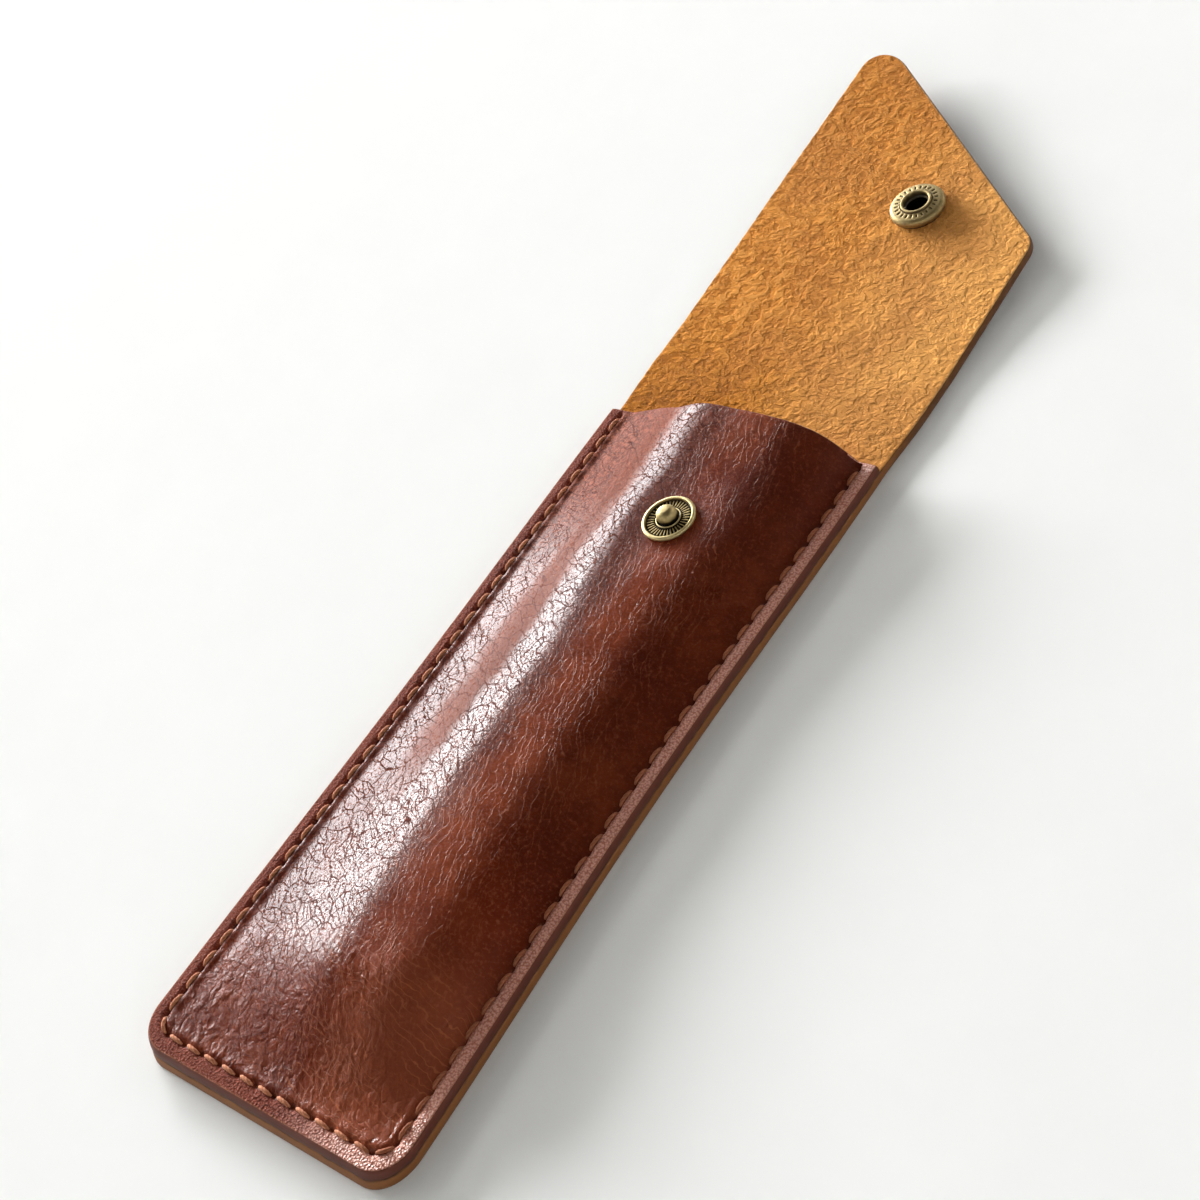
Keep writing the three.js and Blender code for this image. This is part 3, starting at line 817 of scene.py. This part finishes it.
def antique_brass():
    """Brass that is dark in its recesses and rubbed bright on its high places."""
    paint = Paint("antique_brass")
    place = paint.place()
    patina = paint.field("patina")
    cloud = paint.noise(place, 0.9, 4.0, 0.6)
    uneven = paint.math("ADD", patina, paint.times(paint.math("SUBTRACT", cloud, 0.5), 0.5))
    colour = paint.ramp(uneven, [(0.0, "#d2c08e"), (0.3, "#a99566"), (0.6, "#66563c"), (1.0, "#17120b")])
    rough = paint.blend(patina, paint.blend(cloud, 0.44, 0.56), 0.66)
    normal = paint.bump(paint.noise(place, 5.0, 2.0, 0.6), 0.012, 0.6)
    return paint.finish(colour, rough, normal, metallic=1.0)


def spring_steel():
    """Dark drawn wire."""
    paint = Paint("spring_steel")
    scratch = paint.noise(paint.place(), 3.0, 3.0, 0.6)
    colour = paint.mix(scratch, "#3b382f", "#7d7664")
    return paint.finish(colour, paint.blend(scratch, 0.25, 0.45), metallic=1.0)


def white_table():
    """A white surface. It glows a little to the eye and in reflections, and keeps its shadows."""
    paint = Paint("white_table")
    speck = paint.noise(paint.node("NewGeometry", {})["Position"], 40.0, 3.0)
    diffuse = paint.node("BsdfDiffuse", {"Color": paint.mix(speck, "#f4f4f2", "#f8f8f6")})[0]
    rays = paint.node("LightPath", {})
    seen = paint.most(*[rays[f"Is {kind} Ray"] for kind in ("Camera", "Glossy", "Transmission")])
    glow = paint.node("Emission", {"Color": "#ffffff", "Strength": paint.times(seen, table_glow)})[0]
    return paint.shown(paint.node("AddShader", {0: diffuse, 1: glow})[0])


leather_face = waxed_leather()
border_face = margin_leather()
suede_face = suede()
edge_face = cut_edge()
thread = sewing_thread()
brass = antique_brass()
steel = spring_steel()


# Leather


def left_rise(share, start, hollow):
    """Height of the left flank as a share of the ridge's, from its foot (share 0) to the ridge (share 1).

    "start" is the slope by the seam as a share of that below the ridge, and "hollow" flattens the middle.
    """
    steps = np.linspace(0, 1, 400)
    slope = smoothstep(steps, 0, 0.09) * smoothstep(steps, 1.0, 0.64)
    slope = slope * mixed(start, 1, smoothstep(steps, 0.1, 0.75))
    slope = slope * (1 - hollow * bell(steps - 0.49, 0.12))
    return np.interp(share, steps, np.cumsum(slope) / np.sum(slope))


def along_run(y, run):
    """0 to 1 over a stretch that is measured from the bottom of the pocket."""
    return smoothstep(y - bottom, *run)


def from_stud(x, y):
    return np.hypot(x - stud_place[0], y - stud_place[1])


def front_lift(x, y):
    """Height of the front panel's bulge above its flat margin."""
    left_foot = left_foot_inset - side_at(-1, y)
    right_foot = side_at(1, y) - right_foot_inset
    top_part = along_run(y, top_flank_run)
    peak = bulge_peak + top_peak_shift * top_part + low_peak_shift * along_run(y, low_peak_run)
    left_share = (x - left_foot) / (peak - left_foot) + 0.02 * soft_noise(0 * x, y / 20, 7)
    low_rise = left_rise(left_share, *low_flank)
    left_arch = mixed(left_rise(left_share, *middle_flank), low_rise, along_run(y, low_flank_run))
    left_arch = mixed(left_arch, left_rise(left_share, *top_flank), top_part)
    right_share = np.clip((x - peak) / (right_foot - peak), 0, 1)
    flatness = mixed(right_flatness, top_flatness, along_run(y, flatness_run))
    right_arch = (1 - right_share**flatness) ** bulge_foot_softness
    arch = np.where(x < peak, left_arch, right_arch)
    sunk = mixed(low_slack, slack, along_run(y, slack_run))
    sunk = mixed(sunk, 1, smoothstep(y, mouth - mouth_run, mouth))
    full = bulge_height * arch * sunk * along_run(y, (bottom_foot, bottom_foot + bottom_run))
    dimple = 1 - smoothstep(from_stud(x, y), dimple_flat, dimple_flat + dimple_reach)
    return np.minimum(full, mixed(full, stud_lift, dimple))


def seam_relief(rim, run):
    """How the thread pulls the leather down along the seam, with a pit at each hole and puckers beside it."""
    off = rim - stitch_inset
    phase = run / stitch_pitch
    from_hole = np.abs(phase - np.round(phase)) * stitch_pitch
    groove = groove_depth * bell(off, 0.55)
    pit = hole_depth * bell(off, 0.42) * bell(from_hole, 0.55)
    swell = 0.5 - 0.5 * np.cos(2 * np.pi * phase)
    inner = inner_pucker * bell(off - 1.0, 0.75) * mixed(0.35, 1, swell)
    outer = outer_pucker * bell(off + 1.2, 0.6) * mixed(0.4, 1, swell)
    sewn = smoothstep(run, -seam_end, 0.3) * smoothstep(run, seam_length + seam_end, seam_length - 0.3)
    return sewn * (inner + outer - groove - pit)


def front_relief(x, y, rim, run):
    """Sway, creases and seam of the worn front panel."""
    inside = smoothstep(rim, 3.6, 8) * smoothstep(from_stud(x, y), dimple_flat, 11)
    sway = wide_sway * soft_noise(x / 12 + 3.1, y / 24, 1) + small_sway * soft_noise(x / 6, y / 10, 2)
    warp_x, warp_y = shifted_about(x, y, 9, 1.6, 5)
    near_mouth = smoothstep(y, mouth - 70, mouth - 25)
    long_lines = crease_lines(warp_x / 3.2, warp_y / 22, 0.2, 3) * near_mouth
    net = crease_lines(warp_x / 5, warp_y / 6, 0.13, 4) * (1 - 0.7 * near_mouth)
    return inside * (sway - long_crease * long_lines - net_crease * net) + seam_relief(rim, run)


def suede_relief(x, y):
    """Depth of the wrinkled nap below the flat face."""
    warp_x, warp_y = shifted_about(x, y, 5, 1.2, 11)
    lumps = 0.5 + 0.5 * soft_noise(warp_x / 2.4, warp_y / 1.9, 13)
    fine = 0.5 + 0.5 * soft_noise(warp_x / 1.1, warp_y / 1.0, 14)
    return nap_lump * lumps + nap_wrinkle * fine


def pocket_grid(half_at, high, steps):
    """Plan points of a pocket panel, closer together by its seam. half_at(side, y) gives its side edges."""
    across_step, along_step, seam_step = steps
    radius = corner_radius - edge_round
    arc = bottom + edge_round + radius * (1 - np.cos(np.linspace(0, np.pi / 2, corner_rows)))
    straight = np.linspace(arc[-1], high, round((high - arc[-1]) / along_step) + 1)
    along = np.concatenate([arc, straight[1:]])
    drop = np.maximum(0, arc[-1] - along)
    cut = radius - np.sqrt(np.maximum(radius**2 - drop**2, 0))
    zone = seam_zone / half_width
    edge_columns = np.linspace(0, zone, round(seam_zone / seam_step) + 1)
    middle = np.linspace(-1 + zone, 1 - zone, round(2 * (half_width - seam_zone) / across_step) + 1)
    share = np.concatenate([-1 + edge_columns, middle[1:-1], 1 - edge_columns[::-1]])
    left, right = [(half_at(side, along) - edge_round - cut)[:, None] for side in (-1, 1)]
    x = share * np.where(share < 0, left, right)
    return x, np.repeat(along[:, None], len(share), axis=1)


def settled(points):
    """Points of the flat back sheet as they lie at rest, with the flap tilted up at its last fold line."""
    line = hinges[-1]
    angle = flap_tilt * smoothstep(points[:, 1], line[1] - fold_reach, line[1] + fold_reach)
    y = points[:, 1] - line[1]
    z = points[:, 2] - line[2]
    turned_y = line[1] + y * np.cos(angle) - z * np.sin(angle)
    turned_z = line[2] + y * np.sin(angle) + z * np.cos(angle)
    return np.column_stack([points[:, 0], turned_y, turned_z])


def rim_field(shell, shape, top=not_worn, under=not_worn):
    """Distance in from the outline at each point of a shell over a grid, which is 0 round its edge."""
    sides = np.stack([np.broadcast_to(top, shape), np.broadcast_to(under, shape)])
    field = np.zeros(len(shell[0]))
    field[: sides.size] = sides.ravel()
    return field


def with_border(shell, rim, kind):
    """The shell with its faces of one kind turned to border outside the seam."""
    points, faces, kinds = shell
    face_rim = rim[np.array(faces)].mean(axis=1)
    in_border = (kinds == kind) & (face_rim < stitch_inset - 0.3)
    return points, faces, np.where(in_border, BORDER, kinds)


def leather_piece(name, shell, materials, rim):
    points, faces, kinds = shell
    return add_piece(name, settled(points), faces, materials, kinds, {"rest": points, "rim": rim})


def front_panel():
    x, y = pocket_grid(side_at, mouth - edge_round, front_steps)
    rim, run = rim_and_run(x, y)
    lift = front_lift(x, y)
    top = margin_top + lift + front_relief(x, y, rim, run)
    shell = sheet_shell(x, y, top, front_base + lift, lean=(0.0, ledge / 2))
    worn = rim_field(shell, x.shape, top=rim)
    shell = with_border(shell, worn, TOP)
    piece = leather_piece("front_leather", shell, [leather_face, suede_face, edge_face, border_face], worn)
    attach(piece, "pouch")
    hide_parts("front_panel")


def back_panel():
    x, y = pocket_grid(sheet_half, hinges[0][1] - fold_reach, back_steps)
    rim, run = rim_and_run(x, y)
    open_part = smoothstep(rim, 6, 9) + smoothstep(y, mouth - 0.5, mouth + 1.5)
    top = leather - suede_relief(x, y) * np.clip(open_part, 0, 1)
    under = np.maximum(0.0, -0.8 * seam_relief(rim, run))
    shell = sheet_shell(x, y, top, under, cut_end=True, lean=(ledge / 2, ledge))
    worn = rim_field(shell, x.shape, under=np.where(y < mouth, rim, not_worn))
    shell = with_border(shell, worn, UNDER)
    piece = leather_piece("back_leather", shell, [suede_face, leather_face, edge_face, border_face], worn)
    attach(piece, "pouch")
    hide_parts("back_panel")


def fold_strips():
    """The stretch that bends when the flap closes: a piece across each fold line."""
    columns = np.linspace(-1, 1, fold_columns)
    for number, (line, (before, after)) in enumerate(zip(hinges, hinge_bodies), 1):
        low = line[1] - fold_reach
        high = line[1] + fold_reach
        along = np.linspace(low, high, fold_rows)[:, None]
        half = sheet_half(-1, along) - edge_round
        x = half * columns
        y = np.repeat(along, fold_columns, axis=1)
        top = leather - suede_relief(x, y)
        shell = sheet_shell(x, y, top, np.zeros_like(x), cut_start=True, cut_end=True)
        worn = rim_field(shell, x.shape, top=half + edge_round - np.abs(x))
        piece = leather_piece(f"fold_leather_{number}", shell, [suede_face, leather_face, edge_face], worn)
        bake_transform(piece)
        if number < len(hinges):
            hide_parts(f"fold_strip_{number}")


def slant_at(x):
    return mouth + flap_left_reach + (x + flap_half) * flap_slope


def flap_end(inset):
    """Points of the slanted end of the flap, from its left edge to its right edge."""
    tip_points, slant_points, corner_points = flap_end_points
    slant_length = math.hypot(2 * flap_half, flap_drop)
    down_slant = np.array([2 * flap_half, -flap_drop]) / slant_length
    across_slant = np.array([flap_drop, 2 * flap_half]) / slant_length
    tip_angle = math.acos(-down_slant[1])

    tip = np.array([inset - flap_half, mouth + flap_left_reach - inset / math.tan(tip_angle / 2)])
    start = tip - np.array([0, flap_tip_side - inset])
    finish = tip + down_slant * (flap_tip_end - inset)
    weight = flap_tip_fullness * math.sin(tip_angle / 2)
    rounding = []
    for t in np.linspace(0, 1, tip_points):
        shares = np.array([(1 - t) ** 2, 2 * weight * t * (1 - t), t**2])
        rounding.append((shares[0] * start + shares[1] * tip + shares[2] * finish) / shares.sum())

    centre_x = flap_half - flap_right_radius
    centre_y = slant_at(centre_x) - flap_right_radius / across_slant[1]
    reach = flap_right_radius - inset
    angles = np.linspace(math.atan2(across_slant[1], across_slant[0]), 0, corner_points)
    corner = np.column_stack([centre_x + reach * np.cos(angles), centre_y + reach * np.sin(angles)])
    line = [mixed(rounding[-1], corner[0], share) for share in np.linspace(0, 1, slant_points)[1:-1]]
    return np.array([*rounding, *line, *corner])


def flap_rim(x, y):
    """Distance in from the outline of the flap, without the rounding of its corners."""
    return np.minimum(flap_half - np.abs(x), (slant_at(x) - y) / math.hypot(1, flap_slope))


def flap_panel():
    start = hinges[-1][1] + fold_reach
    end = flap_end(edge_round)
    share = np.linspace(0, 1, flap_rows)[:, None]
    x = np.repeat(end[None, :, 0], flap_rows, axis=0)
    y = start + share * (end[None, :, 1] - start)
    to_snap = np.hypot(x - socket_across, y - socket_along)
    nap = suede_relief(x, y) * smoothstep(to_snap, 5.5, 8)
    shell = sheet_shell(x, y, leather - nap, np.zeros_like(x), cut_start=True)
    worn = rim_field(shell, x.shape, top=flap_rim(x, y))
    piece = leather_piece("flap_leather", shell, [suede_face, leather_face, edge_face], worn)
    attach(piece, "flap")
    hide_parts("flap_panel")


# Stitching


def stitch_line(number, height, up):
    """Points along one stitch, which lies a little slanted and dips into its holes at both ends."""
    line = []
    for t in np.linspace(0, 1, stitch_steps):
        point, ahead = seam_point((number + 0.5 + (t - 0.5) * stitch_share) * stitch_pitch)
        left = np.array([-ahead[1], ahead[0]])
        level = height + up * (0.62 * (1 - abs(2 * t - 1) ** 3.2) - 0.45)
        line.append([*(point + left * 0.3 * (0.5 - t) * up), level])
    return line


def stitches(name, height, up, node):
    """Separate stitches of twisted thread along the seam. "up" is 1 on the front and -1 on the back."""
    share = np.linspace(0, 1, stitch_steps)[:, None]
    twist = np.cos(thread_plies * (full_turn(stitch_sides) + 2 * np.pi * ply_turns * share))
    taper = 0.72 + 0.28 * np.sin(np.pi * share) ** 0.5
    radius = thread_radius * taper * (0.94 + 0.09 * twist)
    lines = [stitch_line(number, height, up) for number in range(stitch_count)]
    points, faces = joined([swept_tube(line, radius, stitch_sides) for line in lines])
    fields = {"rest": points, "ply": np.tile((0.5 + 0.5 * twist).ravel(), stitch_count)}
    piece = add_piece(name, points, faces, [thread], fields=fields, crease_degrees=70)
    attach(piece, "pouch")
    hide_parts(node)


# Press snap


def tilted(points, angle):
    return points @ np.array(Matrix.Rotation(angle, 3, "X")).T


def on_flap(height):
    """Where the axis of the flap's snap stands at a height over the inner face of the leather."""
    return settled(np.array([[socket_across, socket_along, leather + height]]))[0]


def brass_piece(name, profile, segments, patina_at, place, tilt, node, body, relief=None):
    """A turned brass piece, placed on the leather face it sits on."""
    points, faces = turned(profile, segments, relief)
    fields = {"rest": points, "patina": patina_at(np.hypot(points[:, 0], points[:, 1]), points[:, 2])}
    piece = add_piece(name, tilted(points, tilt) + place, faces, [brass], fields=fields, crease_degrees=38)
    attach(piece, body)
    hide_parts(node)


def radial_marks(count, inner, outer, height, width_share):
    """A relief of plain radial ridges, or of notches where the height is negative."""

    def relief(radius, angle):
        phase = np.abs(((angle * count / (2 * np.pi)) % 1) - 0.5) * 2
        bar = smoothstep(phase, 1 - width_share, 1 - width_share * 0.45)
        ring = smoothstep(radius, inner, inner + 0.25) * smoothstep(radius, outer, outer - 0.25)
        return height * bar * ring

    return relief


def snap_stud():
    """A rimmed dish with a ribbed floor, and a ball on a neck inside a thin collar."""
    floor = 0.42
    collar = 2.22
    ball_round = 1.45
    profile = [(0, 0), (4.6, 0)]
    profile += profile_arc(4.55, 0.45, 0.45, -70, 90, 10)
    profile += profile_arc(4.47, 0.75, 0.15, 90, 180, 4)
    profile += [(4.26, 0.5), *[(radius, floor) for radius in np.linspace(4.1, 2.42, 12)], (2.34, 0.55)]
    profile += profile_arc(collar, 0.72, 0.1, 0, 180, 6)
    profile += [(2.1, 0.5), (1.75, 0.45), (1.55, 0.7)]
    profile += profile_arc(0.45, ball_round, ball_round, -40, 90, 20)
    profile += [(0, 2 * ball_round)]

    def patina_at(radius, height):
        recess = smoothstep(radius, 4.4, 4.15) * smoothstep(height, 0.75, 0.45)
        neck = smoothstep(radius, 2.1, 1.9) * smoothstep(height, 1.7, 0.9)
        ring = bell(radius - collar, 0.14) * smoothstep(height, 0.55, 0.8)
        on_floor = smoothstep(radius, 2.4, 2.5) * smoothstep(radius, 4.2, 4.0)
        raised = smoothstep(height, floor + 0.02, floor + 0.11) * on_floor
        ball = 0.14 * smoothstep(height, 1.2, 1.8)
        return np.clip(0.12 + 0.95 * recess + 0.9 * neck + ball - 0.3 * ring - 0.5 * raised, 0, 1)

    ribs = radial_marks(36, 2.45, 4.15, 0.14, 0.5)
    brass_piece("brass_stud", profile, 288, patina_at, stud_place, 0, "snap_stud", "pouch", ribs)


def stud_rivet():
    """The flat head inside the pocket and the post that holds the stud."""
    low, high = node_box("stud_rivet")
    head = 0.5
    post = 1.0
    rim = 0.25
    radius = (high[0] - low[0]) / 2
    tall = high[2] - low[2]
    profile = [(0, 0), (radius - 0.3, 0)]
    profile += profile_arc(radius - rim, rim, rim, -70, 90, 6)
    profile += [(post + 0.1, head), (post, head + 0.1), (post, tall), (0, tall)]

    def patina_at(radius, height):
        return np.full(len(radius), 0.45)

    place = np.append(stud_place[:2], low[2])
    brass_piece("brass_rivet", profile, 64, patina_at, place, 0, "stud_rivet", "pouch")


def snap_socket():
    """A domed ring with a notched band round its bore. Its profile is listed from the bore outwards."""
    bore = 2.5
    bore_floor = 0.1
    band_inner = 3.25
    band_outer = 4.6

    def band_level(radius):
        return 2.22 - 0.08 * (radius - 3.2) ** 2

    profile = [(0, bore_floor), (2.2, bore_floor), (2.46, 0.15), (bore, 0.9), (bore, 2.2)]
    profile += profile_arc(2.72, 2.32, 0.18, 180, 90, 5)
    profile += profile_arc(2.9, 2.3, 0.2, 90, 20, 5)
    profile += [(3.16, 2.18)]
    profile += [(radius, band_level(radius)) for radius in np.linspace(band_inner, band_outer, 12)]
    profile += profile_arc(4.45, 1.05, 1.05, 75, -35, 14)
    profile += [(5.15, 0.2), (5.0, 0.0), (0, 0.0)]

    def patina_at(radius, height):
        in_bore = smoothstep(radius, 2.56, bore) * smoothstep(height, 2.3, 1.9)
        track = bell(radius - 3.18, 0.12) * smoothstep(height, 2.0, 2.1)
        on_band = smoothstep(radius, band_inner, 3.35) * smoothstep(radius, 4.65, 4.55)
        notch = smoothstep(band_level(radius) - height, 0.04, 0.16) * on_band * smoothstep(height, 1.5, 1.7)
        foot = smoothstep(height, 0.6, 0.1)
        return np.clip(0.36 + in_bore + 0.4 * track + 0.45 * notch + 0.4 * foot, 0, 1)

    notches = radial_marks(24, 3.4, 4.4, -0.16, 0.45)
    place = on_flap(snap_gap)
    profile.reverse()
    brass_piece("brass_socket", profile, 264, patina_at, place, flap_tilt, "snap_socket", "flap", notches)


def socket_spring():
    """An open ring of wire in the bore of the socket."""
    radius = 2.41
    wire = 0.28
    level = 1.3
    angles = np.radians(np.linspace(25, 335, 60))
    points, faces = swept_tube(around(radius, angles, level), wire, 12)
    placed = tilted(points, flap_tilt) + on_flap(snap_gap)
    piece = add_piece("spring_wire", placed, faces, [steel], fields={"rest": points})
    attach(piece, "flap")
    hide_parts("socket_spring")


def snap_cap():
    """The dome on the outside of the flap and its hollow shank."""
    cap_radius = 6.2
    cap_height = 1.8
    cap_rim = 0.45
    shank = 2.0
    shank_bore = 1.5
    shank_end = leather + 0.12
    dome = cap_height - cap_rim
    sphere = (cap_radius**2 + dome**2) / (2 * dome)
    edge = math.degrees(math.asin(cap_radius / sphere))
    profile = [(0, -cap_height)]
    profile += profile_arc(0, sphere - cap_height, sphere, -88, edge - 92, 14)
    profile += profile_arc(cap_radius - 0.3, -0.3, 0.3, -40, 90, 6)
    profile += [(shank + 0.1, 0), (shank, 0.1), (shank, shank_end)]
    profile += [(shank_bore, shank_end), (shank_bore, cap_rim), (0, cap_rim)]

    def patina_at(radius, height):
        return np.clip(0.18 + 0.5 * smoothstep(radius, 5.4, cap_radius) + smoothstep(height, 0.0, 0.3), 0, 1)

    place = on_flap(-leather - snap_gap)
    brass_piece("brass_cap", profile, 96, patina_at, place, flap_tilt, "snap_cap", "flap")


# Stage, in metres


def table():
    """A wide white floor that curves up into a wall far behind the object."""
    floor_radius = 6.0
    wall_height = 5.0
    below = 0.0001  # the floor lies this far under the pouch
    bend = profile_arc(floor_radius, 1.0, 1.0, -80, 0, 8)
    rings = [(0.5, 0.0), (2.0, 0.0), (floor_radius, 0.0), *bend, (floor_radius + 1, wall_height)]
    angle = full_turn(96)
    points = [around(radius, angle, height - below) for radius, height in rings]
    index, after, faces = ring_faces(len(rings), len(angle))
    faces.append(index[0].tolist())
    floor = add_piece("table", np.concatenate(points) / MM, faces, [white_table()])


def soft_box(name, azimuth, elevation, distance, size, power, colour):
    """A rectangular lamp that faces the object. Azimuth is counted from +X towards +Y."""
    lamp = bpy.data.lights.new(name, "AREA")
    lamp.shape = "RECTANGLE"
    lamp.size, lamp.size_y = size
    lamp.energy = power
    lamp.color = colour
    turn = math.radians(azimuth)
    rise = math.radians(elevation)
    direction = Vector((math.cos(turn) * math.cos(rise), math.sin(turn) * math.cos(rise), math.sin(rise)))
    box = add_object(name, lamp)
    box.location = aim + direction * distance
    box.rotation_euler = (-direction).to_track_quat("-Z", "Y").to_euler()


def lights():
    """A long low lamp draws the highlight. Small ones stand above and beside it, with a little warm fill."""
    cool = (0.97, 0.985, 1.0)
    warm = (1.0, 0.9, 0.8)
    soft_box("key", 163, 12, 6.0, (4.3, 1.0), 980, cool)
    soft_box("above_key", 163, 27, 3.0, (0.4, 0.7), 11, cool)
    soft_box("side", 186, 29, 3.0, (0.8, 0.7), 7, (1.0, 0.97, 0.94))
    soft_box("upper", 153, 53, 3.0, (1.4, 0.8), 4, (1.0, 0.94, 0.88))
    soft_box("fill", -45, 60, 3.0, (2.4, 2.4), 1.5, warm)
    world = bpy.data.worlds.new("studio")
    world.use_nodes = True
    background = world.node_tree.nodes["Background"]
    background.inputs["Color"].default_value = (*warm, 1.0)
    background.inputs["Strength"].default_value = 0.03
    bpy.context.scene.world = world


def camera():
    """Stands where the photograph was taken from: right of the pouch, above it, with the horizon turned."""
    place = Vector((214.36, -154.31, 241.25)) * MM
    target = Vector((-6.64, -17.53, 0.0)) * MM
    roll = math.radians(-31.11)
    focal_share = 2022.67 / 1200  # focal length as a share of the picture's width
    lens = bpy.data.cameras.new("camera")
    lens.sensor_width = 36
    lens.lens = lens.sensor_width * focal_share
    lens.clip_start = 0.01
    lens.clip_end = 50
    made = add_object("camera", lens)
    facing = (target - place).to_track_quat("-Z", "Y").to_matrix()
    turn = facing @ Matrix.Rotation(roll, 3, "Z")
    made.matrix_world = Matrix.Translation(place) @ turn.to_4x4()
    bpy.context.scene.camera = made


# The scene

camera()
front_panel()
back_panel()
fold_strips()
flap_panel()
stitches("stitches_front", margin_top - 0.05, 1, "seam_thread_front")
stitches("stitches_back", 0.5, -1, "seam_thread_back")
snap_stud()
stud_rivet()
snap_socket()
socket_spring()
snap_cap()
table()
lights()

bpy.context.scene.view_settings.view_transform = "Standard"
